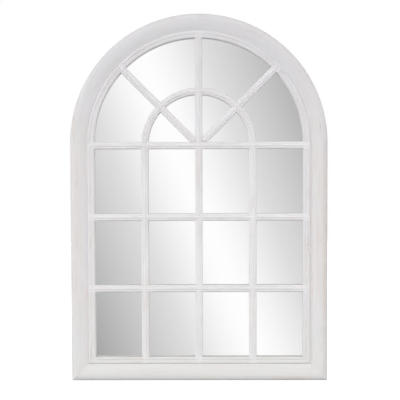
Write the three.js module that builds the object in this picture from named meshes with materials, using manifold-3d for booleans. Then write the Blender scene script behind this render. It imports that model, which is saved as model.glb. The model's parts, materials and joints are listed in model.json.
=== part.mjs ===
// Arched window mirror.
//
// A wall mirror made like a small window: a moulded wooden frame with a semicircular head, a raised
// border moulding inside it, and glazing bars in front of one mirror sheet. Behind the sheet lie a
// cushion and a screwed back board, and the mirror hangs on two swinging rings.
//
// Millimetres, +Z up, the front faces -Y. The origin is on the wall plane, midway between the two
// places where the rings bear on their wall hooks. "Height" in the sections below is measured from
// the back face of the frame towards the viewer, and "inset" from the outer edge of the frame inwards.

import * as THREE from 'three';
import { mergeVertices } from 'three/addons/utils/BufferGeometryUtils.js';
import loadManifold from 'manifold-3d';

const wasm = await loadManifold();
wasm.setup();

// ---------------------------------------------------------------- driving dimensions

const FIT = 0.3; // gap left wherever two pieces meet

// The whole object
const WIDTH = 700; // over the two stiles
const HEIGHT = 1000; // from the bottom edge to the crown of the arch
const WALL_GAP = 8; // the frame's back stands this far off the wall

// Section of the frame members
const FRAME_DEPTH = 30; // back face to the crest of the moulding
const SIDE_HEIGHT = 19; // flat outer side, below the rounded edge
const CREST_INSET = 18; // outer edge to the crest
const VALLEY_INSET = 46.5; // outer edge to the foot of the moulding's fall
const VALLEY_HEIGHT = 25; // height of the moulding at that foot
const LEDGE_INSET = 58.5; // outer edge to the end of the ledge under the border
const LEDGE_HEIGHT = 16; // top of that ledge
const BOARD_REBATE = 8.5; // how far the back board laps onto the ledge

// Section of the border moulding
const SIGHT_INSET = 66.5; // outer edge to the sight edge, where the mirror starts to show
const BORDER_HEIGHT = 29; // top of its two ridges
const BORDER_FLANK = 6.2; // width of its rounded outer flank
const BORDER_LIP = 3.5; // radius of its rounded sight edge
const COVE_INSET = 57; // outer edge to the centre of the shallow hollow between its ridges
const COVE_WIDTH = 5.4;
const COVE_DEPTH = 1;

// Section of the glazing bars
const BAR_WIDTH = 20;
const BAR_HEIGHT = 29.3; // top of the bead
const BAR_SHOULDER = 24; // flat sides of the bar, below its rounded edges
const BAR_SIDE_HEIGHT = 28.3; // top of the rounded band on each side of the bead
const BEAD_WIDTH = 7;
const BEAD_RISE = 2.3;
const QUIRK_WIDTH = 1.6; // the small groove on each side of the bead
const LAP_HEIGHT = 22.6; // where crossing bars are halved into each other
const BAR_END_INSET = 49; // outer edge to the bar ends, which lie over the border

// Layout of the bars
const TRANSOM_DROP = 6; // springing of the arch down to the transom's centre line
const ROWS = 3; // rows of bays under the transom
const CROSSBAR_PITCH = 195; // centre to centre, from the transom down; the bottom row takes the rest
const BAYS_PER_SIDE = 2; // equal bays on each side of the centre upright
const DIAGONAL_ANGLE = 45; // degrees above the transom

// Sheets behind the border
const GLASS_THICKNESS = 3;
const GLASS_PLAY = 0.7; // room round the glass for the wood to move
const BOARD_THICKNESS = 3;
const BOARD_RECESS = 4; // the board lies this far inside the frame's back

// Loose splines that are glued across the joints of the frame
const SPLINE_INSET = 25; // outer edge to the spline's centre
const SPLINE_WIDTH = 28; // along the joint
const SPLINE_REACH = 12; // into each member
const SPLINE_THICKNESS = 4;
const SPLINE_HEIGHT = 10; // its underside, above the frame's back

// Screws of the back board
const BOARD_SCREW = { radius: 1.5, head: 3, headHeight: 1.8, length: 9.5, point: 2 };
const BOARD_SCREW_MARGIN = 3.8; // screw's centre to the board's edge
const BOTTOM_SCREWS = 3;
const SIDE_SCREWS = 3;
const ARCH_SCREWS = 5;

// Ring hangers, one on the back of each stile
const HANGER_INSET = 25; // outer edge to the hanger's centre line
const PIVOT_DROP = 50; // springing of the arch down to the ring's pivot
const RING_WIRE = 1.5; // radius of the ring's wire
const RING_WIDTH = 25; // between the centres of its two sides
const RING_CORNER = 3; // bend beside the straight bar
const RING_LEG = 1.5; // straight side between that bend and the round end
const RING_BUTT = 0.4; // where the wire's two ends meet
const STRAP_WIDTH = 16;
const STRAP_THICKNESS = 1.2;
const STRAP_SCREW = { radius: 1.75, head: 3.5, headHeight: 2, length: 16, point: 3 };
const STRAP_SCREW_PITCH = 14;
const STRAP_END = 7; // lower screw to the strap's rounded end
const RING_CLEARANCE = 2.5; // hanging ring to the upper screw's head

// Wall bumpers, one on the back of each stile
const BUMPER_RADIUS = 10;
const BUMPER_TAPER = 1; // smaller radius at the wall by this much
const BUMPER_INSET = 25;
const BUMPER_Z = 75; // above the bottom edge

// Fineness of the facets
const ARC_STEPS = 18; // facets in a quarter of an arch
const FRAME_STEPS = 2; // half the facets of one curve of the frame's section
const MOULDING_STEPS = 1; // the same for the border's and the bars' sections
const SCREW_SIDES = 10;
const BUMPER_SIDES = 20;
const WIRE_SIDES = 8;
const ROD_SIDES = 14;
const RING_STEPS = 26;
const WELD = 1e-4; // vertices closer than this are one

// ---------------------------------------------------------------- sizes that follow

const HALF_WIDTH = WIDTH / 2;
const SPRING_Z = HEIGHT - HALF_WIDTH; // where the stiles end and the arch begins
const TRANSOM_Z = SPRING_Z - TRANSOM_DROP;
const BAR_HALF = BAR_WIDTH / 2;
const BAR_BASE = LEDGE_HEIGHT + FIT;
const COLUMN_PITCH = (HALF_WIDTH - SIGHT_INSET + BAR_HALF) / BAYS_PER_SIDE;
const FAN_RADIUS = COLUMN_PITCH; // the inner arch stands on the side uprights
const BOARD_INSET = LEDGE_INSET - BOARD_REBATE; // wall of the board's rebate
const BOARD_SEAT = BOARD_RECESS + BOARD_THICKNESS + FIT; // floor of that rebate
const GLASS_BACK = LEDGE_HEIGHT - GLASS_THICKNESS;
const RING_PIVOT_Z = SPRING_Z - PIVOT_DROP;
const KNUCKLE_RADIUS = RING_WIRE + FIT + STRAP_THICKNESS;
const PIVOT_HEIGHT = -(FIT + KNUCKLE_RADIUS);
const RING_DROP = RING_CORNER + RING_LEG + RING_WIDTH / 2; // pivot to the centre of the round end
const UPPER_SCREW_DROP = RING_DROP + RING_WIRE + RING_CLEARANCE + STRAP_SCREW.head;
const LOWER_SCREW_DROP = UPPER_SCREW_DROP + STRAP_SCREW_PITCH;
const HOOK_Z = RING_PIVOT_Z + RING_DROP - RING_WIRE; // where a raised ring bears on its hook
const BEYOND = WIDTH; // cutting shapes run this far past what they cut
const SIDES = { left: -1, right: 1 };

// ---------------------------------------------------------------- materials

const finish = (color, roughness, metalness) => () =>
  new THREE.MeshStandardMaterial({ color, roughness, metalness });

const paintedWood = finish(0xe1dee0, 0.62, 0);
const bareWood = finish(0xd2b48a, 0.7, 0);
const mirror = finish(0xf1f4f4, 0.03, 1);
const cardboard = finish(0xb39a74, 0.9, 0);
const hardboard = finish(0x6f4e34, 0.8, 0);
const zincSteel = finish(0xc4c6c8, 0.35, 1);
const rubber = finish(0x4a4846, 0.85, 0);

// ---------------------------------------------------------------- from geometry to solid and back

function solidOf(geometry) {
  geometry.deleteAttribute('normal');
  geometry.deleteAttribute('uv');
  const welded = mergeVertices(geometry, WELD);
  const corners = welded.index.array;
  const kept = [];
  for (let i = 0; i < corners.length; i += 3) {
    const [a, b, c] = corners.slice(i, i + 3);
    if (a !== b && b !== c && c !== a) kept.push(a, b, c);
  }
  return new wasm.Manifold(new wasm.Mesh({
    numProp: 3,
    vertProperties: new Float32Array(welded.attributes.position.array),
    triVerts: new Uint32Array(kept),
  }));
}

function geometryOf(solid) {
  const { vertProperties, triVerts } = solid.getMesh();
  const geometry = new THREE.BufferGeometry();
  geometry.setAttribute('position', new THREE.BufferAttribute(new Float32Array(vertProperties), 3));
  geometry.setIndex(new THREE.BufferAttribute(new Uint32Array(triVerts), 1));
  geometry.computeVertexNormals();
  return geometry;
}

const join = solids => solids.reduce((whole, solid) => whole.add(solid));
const cut = (solid, tools) => tools.reduce((rest, tool) => rest.subtract(tool), solid);

// A point of the mirror: across, up from the bottom edge, and in front of the frame's back.
const at = (x, z, height) => new THREE.Vector3(x, -(WALL_GAP + height), z);

// ---------------------------------------------------------------- sections, as across and height

const polygon = points => new THREE.Shape(points.map(([x, y]) => new THREE.Vector2(x, y)));
const faceted = (outline, steps) => new THREE.Shape(outline.extractPoints(steps).shape);

function frameSection() {
  const drop = FRAME_DEPTH - VALLEY_HEIGHT;
  const run = VALLEY_INSET - CREST_INSET;
  const fallRadius = (run * run + drop * drop) / (2 * drop);
  const fallEnd = Math.PI / 2 - Math.asin(run / fallRadius);
  const section = new THREE.Shape();
  section.moveTo(0, 0);
  section.lineTo(0, SIDE_HEIGHT);
  section.absellipse(CREST_INSET, SIDE_HEIGHT, CREST_INSET, FRAME_DEPTH - SIDE_HEIGHT,
    Math.PI, Math.PI / 2, true);
  section.absarc(CREST_INSET, FRAME_DEPTH - fallRadius, fallRadius, Math.PI / 2, fallEnd, true);
  section.lineTo(VALLEY_INSET, LEDGE_HEIGHT);
  section.lineTo(LEDGE_INSET, LEDGE_HEIGHT);
  section.lineTo(LEDGE_INSET, BOARD_SEAT);
  section.lineTo(BOARD_INSET, BOARD_SEAT);
  section.lineTo(BOARD_INSET, 0);
  return faceted(section, FRAME_STEPS);
}

function borderSection() {
  const outer = VALLEY_INSET + FIT;
  const flankRise = BORDER_HEIGHT - VALLEY_HEIGHT;
  const coveRadius = (COVE_WIDTH * COVE_WIDTH / 4 + COVE_DEPTH * COVE_DEPTH) / (2 * COVE_DEPTH);
  const coveStart = Math.acos(COVE_WIDTH / 2 / coveRadius);
  const section = new THREE.Shape();
  section.moveTo(outer, BAR_BASE);
  section.lineTo(outer, VALLEY_HEIGHT);
  section.absellipse(outer + BORDER_FLANK, VALLEY_HEIGHT, BORDER_FLANK, flankRise,
    Math.PI, Math.PI / 2, true);
  section.absarc(COVE_INSET, BORDER_HEIGHT - COVE_DEPTH + coveRadius, coveRadius,
    Math.PI + coveStart, 2 * Math.PI - coveStart, false);
  section.absarc(SIGHT_INSET - BORDER_LIP, BORDER_HEIGHT - BORDER_LIP, BORDER_LIP,
    Math.PI / 2, 0, true);
  section.lineTo(SIGHT_INSET, BAR_BASE);
  return faceted(section, MOULDING_STEPS);
}

function barSection() {
  const bead = BEAD_WIDTH / 2;
  const side = bead + QUIRK_WIDTH;
  const floor = BAR_HEIGHT - BEAD_RISE;
  const round = [BAR_HALF - side, BAR_SIDE_HEIGHT - BAR_SHOULDER];
  const section = new THREE.Shape();
  section.moveTo(-BAR_HALF, BAR_BASE);
  section.lineTo(-BAR_HALF, BAR_SHOULDER);
  section.absellipse(-side, BAR_SHOULDER, ...round, Math.PI, Math.PI / 2, true);
  section.lineTo(-bead, floor);
  section.absellipse(0, floor, bead, BEAD_RISE, Math.PI, Math.PI / 2, true);
  section.absellipse(0, floor, bead, BEAD_RISE, Math.PI / 2, 0, true);
  section.lineTo(side, BAR_SIDE_HEIGHT);
  section.absellipse(side, BAR_SHOULDER, ...round, Math.PI / 2, 0, true);
  section.lineTo(BAR_HALF, BAR_BASE);
  return faceted(section, MOULDING_STEPS);
}

const stripSection = (halfWidth, low, high) =>
  polygon([[-halfWidth, low], [halfWidth, low], [halfWidth, high], [-halfWidth, high]]);

// ---------------------------------------------------------------- runs, plates and small solids

// A flat plate of an outline drawn in across and up, between two heights.
function plate(outline, low, high) {
  const geometry = new THREE.ExtrudeGeometry(outline,
    { depth: high - low, bevelEnabled: false, curveSegments: ARC_STEPS });
  const placed = new THREE.Matrix4().makeBasis(
    new THREE.Vector3(1, 0, 0), new THREE.Vector3(0, 0, 1), new THREE.Vector3(0, -1, 0));
  return solidOf(geometry.applyMatrix4(placed.setPosition(at(0, 0, low))));
}

// A straight run sweeps a section from one point to another, the section's across to the left of
// the way it goes. An arched run sweeps it over the top of a centre, its across pointing inwards.
const straightRun = (from, to) => section => {
  const along = new THREE.Vector3(to[0] - from[0], 0, to[1] - from[1]);
  const depth = along.length();
  along.normalize();
  const across = new THREE.Vector3(-along.z, 0, along.x);
  const geometry = new THREE.ExtrudeGeometry(section, { depth, bevelEnabled: false });
  const placed = new THREE.Matrix4().makeBasis(across, new THREE.Vector3(0, -1, 0), along);
  return solidOf(geometry.applyMatrix4(placed.setPosition(at(...from, 0))));
};

const archedRun = (radius, centreZ) => section => {
  const outline = section.getPoints();
  if (THREE.ShapeUtils.isClockWise(outline)) outline.reverse();
  const profile = outline.map(({ x, y }) => new THREE.Vector2(radius - x, at(0, 0, y).y));
  profile.push(profile[0].clone());
  const ring = new THREE.LatheGeometry(profile, 4 * ARC_STEPS).translate(0, 0, centreZ);
  const above = polygon([[-BEYOND, centreZ], [BEYOND, centreZ],
    [BEYOND, centreZ + BEYOND], [-BEYOND, centreZ + BEYOND]]);
  return solidOf(ring).intersect(plate(above, -BEYOND, BEYOND));
};

// The outline of the whole mirror, set in from its outer edge.
function archOutline(inset) {
  const radius = HALF_WIDTH - inset;
  const outline = new THREE.Shape();
  outline.moveTo(-radius, inset);
  outline.lineTo(radius, inset);
  outline.absarc(0, SPRING_Z, radius, 0, Math.PI, false);
  outline.closePath();
  return outline;
}

// A round bore or pin square to the back, between two heights.
function bore(radius, x, z, low, high) {
  const geometry = new THREE.CylinderGeometry(radius, radius, high - low, SCREW_SIDES);
  return solidOf(geometry.translate(...at(x, z, (low + high) / 2)));
}

// A round bar that lies across the mirror.
function crossRod(radius, length, x, z, height) {
  const geometry = new THREE.CylinderGeometry(radius, radius, length, ROD_SIDES);
  return solidOf(geometry.rotateZ(Math.PI / 2).translate(...at(x, z, height)));
}

// ---------------------------------------------------------------- frame and border members

// The outline that its joints leave a member: mitres at the two bottom corners, square joints at
// the springing and at the crown. A left one is the right one mirrored.
function memberOutline(place, side, gap) {
  const mitre = gap * Math.SQRT1_2;
  const square = gap / 2;
  const outlines = {
    bottom: [[-BEYOND, HALF_WIDTH - BEYOND - mitre], [BEYOND, HALF_WIDTH - BEYOND - mitre],
      [0, HALF_WIDTH - mitre]],
    stile: [[side * BEYOND, HALF_WIDTH - BEYOND + mitre], [side * BEYOND, SPRING_Z - square],
      [side * square, SPRING_Z - square], [side * square, HALF_WIDTH - square + mitre]],
    arch: [[side * square, SPRING_Z + square], [side * BEYOND, SPRING_Z + square],
      [side * BEYOND, HEIGHT + BEYOND], [side * square, HEIGHT + BEYOND]],
  };
  return plate(polygon(outlines[place]), -BEYOND, BEYOND);
}

const crownRun = archedRun(HALF_WIDTH, SPRING_Z);
const members = {
  bottom: { place: 'bottom', side: 1, run: straightRun([-HALF_WIDTH, 0], [HALF_WIDTH, 0]) },
  right: { place: 'stile', side: 1, run: straightRun([HALF_WIDTH, 0], [HALF_WIDTH, SPRING_Z]) },
  left: { place: 'stile', side: -1, run: straightRun([-HALF_WIDTH, SPRING_Z], [-HALF_WIDTH, 0]) },
  arch_right: { place: 'arch', side: 1, run: crownRun },
  arch_left: { place: 'arch', side: -1, run: crownRun },
};

const memberSolid = ({ place, side, run }, section, gap) =>
  run(section).intersect(memberOutline(place, side, gap));

// ---------------------------------------------------------------- glazing bars

const uprightTop = TRANSOM_Z + BAR_HALF;
const diagonalRise = Math.tan(THREE.MathUtils.degToRad(DIAGONAL_ANGLE));

const barRuns = {
  upright_centre: straightRun([0, 0], [0, HEIGHT]),
  transom: straightRun([-HALF_WIDTH, TRANSOM_Z], [HALF_WIDTH, TRANSOM_Z]),
  fan_arch: archedRun(FAN_RADIUS, TRANSOM_Z),
};
for (const [side, sign] of Object.entries(SIDES)) {
  const x = sign * COLUMN_PITCH;
  barRuns[`upright_${side}`] = straightRun([x, 0], [x, uprightTop]);
  barRuns[`diagonal_${side}`] = straightRun([0, TRANSOM_Z],
    [sign * HALF_WIDTH, TRANSOM_Z + HALF_WIDTH * diagonalRise]);
}
const crossbars = Array.from({ length: ROWS - 1 }, (_, row) => `crossbar_${row + 1}`);
crossbars.forEach((name, row) => {
  const z = TRANSOM_Z - (row + 1) * CROSSBAR_PITCH;
  barRuns[name] = straightRun([-HALF_WIDTH, z], [HALF_WIDTH, z]);
});
const uprights = ['upright_centre', 'upright_left', 'upright_right'];
const diagonals = ['diagonal_left', 'diagonal_right'];

// Where two bars cross, the first keeps its front half and the second its back half. The front one
// carries the mouldings of both, so that they meet at the crossing as they do on a window.
const crossings = [
  ...uprights.map(upright => [upright, 'transom']),
  ...uprights.flatMap(upright => crossbars.map(crossbar => [upright, crossbar])),
  ['fan_arch', 'upright_centre'],
  ...diagonals.map(diagonal => ['fan_arch', diagonal]),
];

const frontLow = LAP_HEIGHT + FIT / 2; // underside of a bar's front half
const backHigh = LAP_HEIGHT - FIT / 2; // top of a bar's back half
const front = FRAME_DEPTH + BEYOND; // clear of every moulding

const strip = (bar, growth, low, high) => barRuns[bar](stripSection(BAR_HALF + growth, low, high));

function makeBars(border) {
  // The bars reach the sight edge at the back, and lie over the border in front.
  const socket = plate(archOutline(SIGHT_INSET + FIT), -BEYOND, frontLow)
    .add(plate(archOutline(BAR_END_INSET), frontLow, front));
  const overBorder = border.intersect(plate(archOutline(BAR_END_INSET), frontLow, front));
  const whole = {};
  const bars = {};
  for (const name of Object.keys(barRuns)) {
    whole[name] = barRuns[name](barSection());
    bars[name] = whole[name].intersect(socket)
      .add(overBorder.intersect(strip(name, 0, frontLow, front)));
  }
  for (const [over, under] of crossings) {
    bars[over] = bars[over].add(whole[under].intersect(strip(over, 0, frontLow, front))
      .intersect(strip(under, 0, frontLow, front)));
  }
  for (const [over, under] of crossings) {
    bars[over] = bars[over].subtract(strip(under, FIT, -BEYOND, frontLow));
    bars[under] = bars[under].subtract(strip(over, FIT, backHigh, front));
  }
  for (const diagonal of diagonals) {
    bars[diagonal] = cut(bars[diagonal],
      ['upright_centre', 'transom'].map(name => strip(name, FIT, -BEYOND, front)));
  }
  const { fan_arch: fan, ...others } = bars;
  const footZ = uprightTop + FIT;
  for (const [side, sign] of Object.entries(SIDES)) {
    const quarter = [[sign * FIT / 2, footZ], [sign * BEYOND, footZ],
      [sign * BEYOND, footZ + BEYOND], [sign * FIT / 2, footZ + BEYOND]];
    others[`fan_arch_${side}`] = fan.intersect(plate(polygon(quarter), -BEYOND, BEYOND));
  }
  return others;
}

// The housings in the border that take the bar ends.
function barHousings() {
  const reach = plate(archOutline(BAR_END_INSET - FIT), backHigh, front);
  const names = Object.keys(barRuns).filter(name => name !== 'fan_arch');
  return names.map(name => strip(name, FIT, backHigh, front).intersect(reach));
}

// ---------------------------------------------------------------- fasteners

const boardScrewInset = BOARD_INSET + FIT + BOARD_SCREW_MARGIN;
const evenly = (count, from, to) =>
  Array.from({ length: count }, (_, i) => from + (to - from) * (i + 0.5) / count);

function boardScrewPlaces() {
  const reach = HALF_WIDTH - boardScrewInset;
  const bottom = evenly(BOTTOM_SCREWS, -reach, reach).map(x => [x, boardScrewInset]);
  const sides = Object.values(SIDES).flatMap(sign =>
    evenly(SIDE_SCREWS, boardScrewInset, SPRING_Z).map(z => [sign * reach, z]));
  const arch = evenly(ARCH_SCREWS, 0, Math.PI).map(angle =>
    [reach * Math.cos(angle), SPRING_Z + reach * Math.sin(angle)]);
  return [...bottom, ...sides, ...arch];
}

const strapScrewPlaces = sign => [UPPER_SCREW_DROP, LOWER_SCREW_DROP].map(drop =>
  [sign * (HALF_WIDTH - HANGER_INSET), RING_PIVOT_Z - drop]);

// A round-headed screw driven in from the back, its head seated at the given height.
function screwGeometry({ radius, head, headHeight, length, point }, x, z, seat) {
  const under = seat - FIT;
  const profile = [[0, under - headHeight], [head, under - headHeight / 2], [head, under],
    [radius, under], [radius, under + length - point], [0, under + length]];
  const points = profile.map(([r, height]) => new THREE.Vector2(r, -height)).reverse();
  const geometry = new THREE.LatheGeometry(points, SCREW_SIDES);
  return geometryOf(solidOf(geometry.translate(...at(x, z, 0))));
}

const screwBore = ({ radius, length }, [x, z], seat) =>
  bore(radius + FIT, x, z, -BEYOND, seat + length);

const boardScrewSeat = BOARD_RECESS;
const strapScrewSeat = -(FIT + STRAP_THICKNESS);
const boardBores = () =>
  boardScrewPlaces().map(place => screwBore(BOARD_SCREW, place, boardScrewSeat));
const strapBores = () => Object.values(SIDES).flatMap(sign =>
  strapScrewPlaces(sign).map(place => screwBore(STRAP_SCREW, place, strapScrewSeat)));

// ---------------------------------------------------------------- splines

const splines = {
  corner_spline_left: [-(HALF_WIDTH - SPLINE_INSET), SPLINE_INSET, Math.PI / 4],
  corner_spline_right: [HALF_WIDTH - SPLINE_INSET, SPLINE_INSET, -Math.PI / 4],
  springing_spline_left: [-(HALF_WIDTH - SPLINE_INSET), SPRING_Z, Math.PI / 2],
  springing_spline_right: [HALF_WIDTH - SPLINE_INSET, SPRING_Z, Math.PI / 2],
  crown_spline: [0, HEIGHT - SPLINE_INSET, 0],
};

function splineGeometry([x, z, turn], growth) {
  const geometry = new THREE.BoxGeometry(
    2 * (SPLINE_REACH + growth), SPLINE_THICKNESS + 2 * growth, SPLINE_WIDTH + 2 * growth);
  const centre = at(x, z, SPLINE_HEIGHT + SPLINE_THICKNESS / 2);
  return geometry.rotateY(turn).translate(...centre);
}

const splinePockets = () => Object.values(splines).map(place => solidOf(splineGeometry(place, FIT)));

// ---------------------------------------------------------------- hangers and bumpers

function strapSolid(sign) {
  const x = sign * (HALF_WIDTH - HANGER_INSET);
  const half = STRAP_WIDTH / 2;
  const outline = new THREE.Shape();
  outline.moveTo(x + half, RING_PIVOT_Z);
  outline.lineTo(x - half, RING_PIVOT_Z);
  outline.absarc(x, RING_PIVOT_Z - LOWER_SCREW_DROP - STRAP_END + half, half, Math.PI, 2 * Math.PI, false);
  outline.closePath();
  const sheet = plate(outline, -(FIT + STRAP_THICKNESS), -FIT);
  const knuckle = crossRod(KNUCKLE_RADIUS, STRAP_WIDTH, x, RING_PIVOT_Z, PIVOT_HEIGHT);
  const eye = crossRod(RING_WIRE + FIT, BEYOND, x, RING_PIVOT_Z, PIVOT_HEIGHT);
  return cut(sheet.add(knuckle), [eye, ...strapBores()]);
}

// The ring hangs down from its straight bar. Its wire is bent from one length, whose ends meet
// inside the strap's knuckle.
function ringGeometry(sign) {
  const half = RING_WIDTH / 2;
  const quarter = Math.PI / 2;
  const path = new THREE.Path();
  path.moveTo(RING_BUTT / 2, 0);
  path.lineTo(half - RING_CORNER, 0);
  path.absarc(half - RING_CORNER, -RING_CORNER, RING_CORNER, quarter, 0, true);
  path.absarc(0, -RING_CORNER - RING_LEG, half, 0, -2 * quarter, true);
  path.absarc(RING_CORNER - half, -RING_CORNER, RING_CORNER, 2 * quarter, quarter, true);
  path.lineTo(-RING_BUTT / 2, 0);
  const x = sign * (HALF_WIDTH - HANGER_INSET);
  const places = path.getSpacedPoints(RING_STEPS).map(point =>
    at(x + point.x, RING_PIVOT_Z + point.y, PIVOT_HEIGHT));
  const wire = new THREE.Shape().absarc(0, 0, RING_WIRE, 0, 2 * Math.PI, false);
  return new THREE.ExtrudeGeometry(wire, {
    extrudePath: new THREE.CatmullRomCurve3(places),
    steps: RING_STEPS,
    bevelEnabled: false,
    curveSegments: WIRE_SIDES / 2, // an arc takes two facets for each segment
  });
}

function bumperGeometry(sign) {
  const geometry = new THREE.CylinderGeometry(
    BUMPER_RADIUS - BUMPER_TAPER, BUMPER_RADIUS, WALL_GAP - FIT, BUMPER_SIDES);
  const centre = at(sign * (HALF_WIDTH - BUMPER_INSET), BUMPER_Z, -(WALL_GAP + FIT) / 2);
  return geometry.translate(...centre);
}

// ---------------------------------------------------------------- the mirror, piece by piece

const mirrorOnItsHooks = new THREE.Group();
mirrorOnItsHooks.position.z = -HOOK_Z;

function add(name, geometry, material) {
  const mesh = new THREE.Mesh(geometry, material());
  mesh.name = name;
  mirrorOnItsHooks.add(mesh);
}

const frameCuts = [...splinePockets(), ...boardBores(), ...strapBores()];
for (const [name, member] of Object.entries(members)) {
  add(`frame_${name}`, geometryOf(cut(memberSolid(member, frameSection(), FIT), frameCuts)), paintedWood);
}

const wholeBorder = join(Object.values(members).map(member => memberSolid(member, borderSection(), 0)));
const housings = barHousings();
for (const [name, member] of Object.entries(members)) {
  add(`border_${name}`, geometryOf(cut(memberSolid(member, borderSection(), FIT), housings)), paintedWood);
}

for (const [name, solid] of Object.entries(makeBars(wholeBorder))) {
  add(name, geometryOf(solid), paintedWood);
}

const sheetInset = LEDGE_INSET + FIT + GLASS_PLAY;
const boardHigh = BOARD_RECESS + BOARD_THICKNESS;
const boardSheet = plate(archOutline(BOARD_INSET + FIT), BOARD_RECESS, boardHigh);
add('mirror_glass', geometryOf(plate(archOutline(sheetInset), GLASS_BACK, LEDGE_HEIGHT)), mirror);
add('cushion_sheet',
  geometryOf(plate(archOutline(sheetInset), BOARD_SEAT, GLASS_BACK - FIT)), cardboard);
add('back_board', geometryOf(cut(boardSheet, boardBores())), hardboard);

for (const [name, place] of Object.entries(splines)) {
  add(name, splineGeometry(place, 0), bareWood);
}

boardScrewPlaces().forEach(([x, z], i) => {
  add(`board_screw_${i + 1}`, screwGeometry(BOARD_SCREW, x, z, boardScrewSeat), zincSteel);
});

for (const [side, sign] of Object.entries(SIDES)) {
  add(`hanger_strap_${side}`, geometryOf(strapSolid(sign)), zincSteel);
  add(`hanger_ring_${side}`, ringGeometry(sign), zincSteel);
  strapScrewPlaces(sign).forEach(([x, z], i) => {
    add(`strap_screw_${side}_${i + 1}`, screwGeometry(STRAP_SCREW, x, z, strapScrewSeat), zincSteel);
  });
  add(`wall_bumper_${side}`, bumperGeometry(sign), rubber);
}

const archedWindowMirror = new THREE.Group();
archedWindowMirror.name = 'arched_window_mirror';
archedWindowMirror.add(mirrorOnItsHooks);

export default archedWindowMirror;
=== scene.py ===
# %% [markdown]
# # An arched window mirror
#
# This lesson dresses a wall mirror that is made like a small window. A moulded wooden frame has a
# semicircular head, a raised border runs inside it, and glazing bars lie in front of one mirror
# sheet. The wood is whitewashed and rubbed a little. The pieces that carry and fasten it come from
# a finished construction model, which is loaded first and never moved.

# %% Load the construction model
import json
import math
import bmesh
import bpy
from bmesh.types import BMEdge, BMVert
from mathutils import Matrix, Vector


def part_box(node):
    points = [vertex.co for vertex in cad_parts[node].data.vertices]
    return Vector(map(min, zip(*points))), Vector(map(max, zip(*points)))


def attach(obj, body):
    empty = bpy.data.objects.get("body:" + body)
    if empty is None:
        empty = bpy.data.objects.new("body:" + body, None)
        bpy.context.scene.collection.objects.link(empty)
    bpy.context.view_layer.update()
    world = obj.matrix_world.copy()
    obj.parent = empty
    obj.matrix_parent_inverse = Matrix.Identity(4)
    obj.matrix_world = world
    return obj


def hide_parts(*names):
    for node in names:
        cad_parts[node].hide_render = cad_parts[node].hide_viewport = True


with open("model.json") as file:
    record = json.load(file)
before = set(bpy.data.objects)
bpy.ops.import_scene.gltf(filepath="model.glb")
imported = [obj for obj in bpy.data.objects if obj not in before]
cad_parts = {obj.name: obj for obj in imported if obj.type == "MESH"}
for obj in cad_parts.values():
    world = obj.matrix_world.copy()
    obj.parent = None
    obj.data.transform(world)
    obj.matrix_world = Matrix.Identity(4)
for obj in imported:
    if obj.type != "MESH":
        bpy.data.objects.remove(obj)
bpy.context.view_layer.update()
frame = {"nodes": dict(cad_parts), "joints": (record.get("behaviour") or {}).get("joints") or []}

# %% [markdown]
# ## Sizes
#
# Everything is in metres. The overall sizes and the places of the bars are read from the
# construction model, so the dressed pieces land where it has them. The small sizes of the mouldings
# repeat the joiner's drawing: an "inset" counts inwards from the outer edge of the frame, and a
# "height" counts from the back of the frame towards the viewer.

# %% Sizes of the whole mirror
MM = 0.001

HALF_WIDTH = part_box("frame_right")[1].x
SPRING_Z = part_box("frame_arch_right")[1].z - HALF_WIDTH
BOTTOM_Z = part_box("frame_bottom")[0].z
BACK_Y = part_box("frame_bottom")[1].y


def middle(node):
    """The centre of a construction piece."""
    low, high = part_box(node)
    return (low + high) / 2


def at(x, z, height):
    """A point of the mirror: across, up, and in front of the frame's back."""
    return Vector((x, BACK_Y - height, z))


print(f"width {2 * HALF_WIDTH:.3f} m, arch springs at {SPRING_Z:.3f} m")

# %% Sizes of the mouldings
FRAME_DEPTH = 30 * MM
SIDE_HEIGHT = 19 * MM
CREST_INSET = 18 * MM
VALLEY_INSET = 46.5 * MM
VALLEY_HEIGHT = 25 * MM
LEDGE_INSET = 58.5 * MM
LEDGE_HEIGHT = 16 * MM
BOARD_INSET = 50 * MM
BOARD_SEAT = 7.2 * MM

SIGHT_INSET = 66.5 * MM
BORDER_HEIGHT = 29 * MM
BORDER_FLANK = 6.2 * MM
BORDER_LIP = 3.5 * MM
COVE_INSET = 57 * MM
COVE_WIDTH = 5.4 * MM
COVE_DEPTH = 1 * MM

BAR_HALF = 10 * MM
BAR_HEIGHT = 29.3 * MM
BAR_SHOULDER = 24 * MM
BAR_SIDE_HEIGHT = 28.3 * MM
BEAD_HALF = 3.5 * MM
BEAD_RISE = 1.5 * MM  # above the quirks beside it, which paint has filled a little
BEAD_FOOT = 31.4  # degrees at which its curve meets them
QUIRK_WIDTH = 1.6 * MM
LAP_HEIGHT = 22.6 * MM
BAR_END_INSET = 49 * MM

SHOULDER_RIDGE = (3 * MM, 24.5 * MM)  # on the frame, inset and height
LIP_RIDGES = (53.5 * MM, 61.5 * MM)  # insets, on both sides of the border's cove
BAND_RIDGE = (6 * MM, 28.2 * MM)  # beside a bar's bead, across and height
SIDE_SHADE = 3 * MM  # how far up a bar's side the painted shade stays

ARRIS = 0.8 * MM  # the small round that sandpaper leaves on a sharp edge
JOINT = 0.1 * MM  # a glued joint under paint
SEAT = 0.05 * MM  # where a piece lies on the next
STATION = 10 * MM  # distance between the cross-sections of a run
BEYOND = 0.5  # cutting blocks run this far past what they cut
WELD = 0.001 * MM  # points closer than this are one
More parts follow.
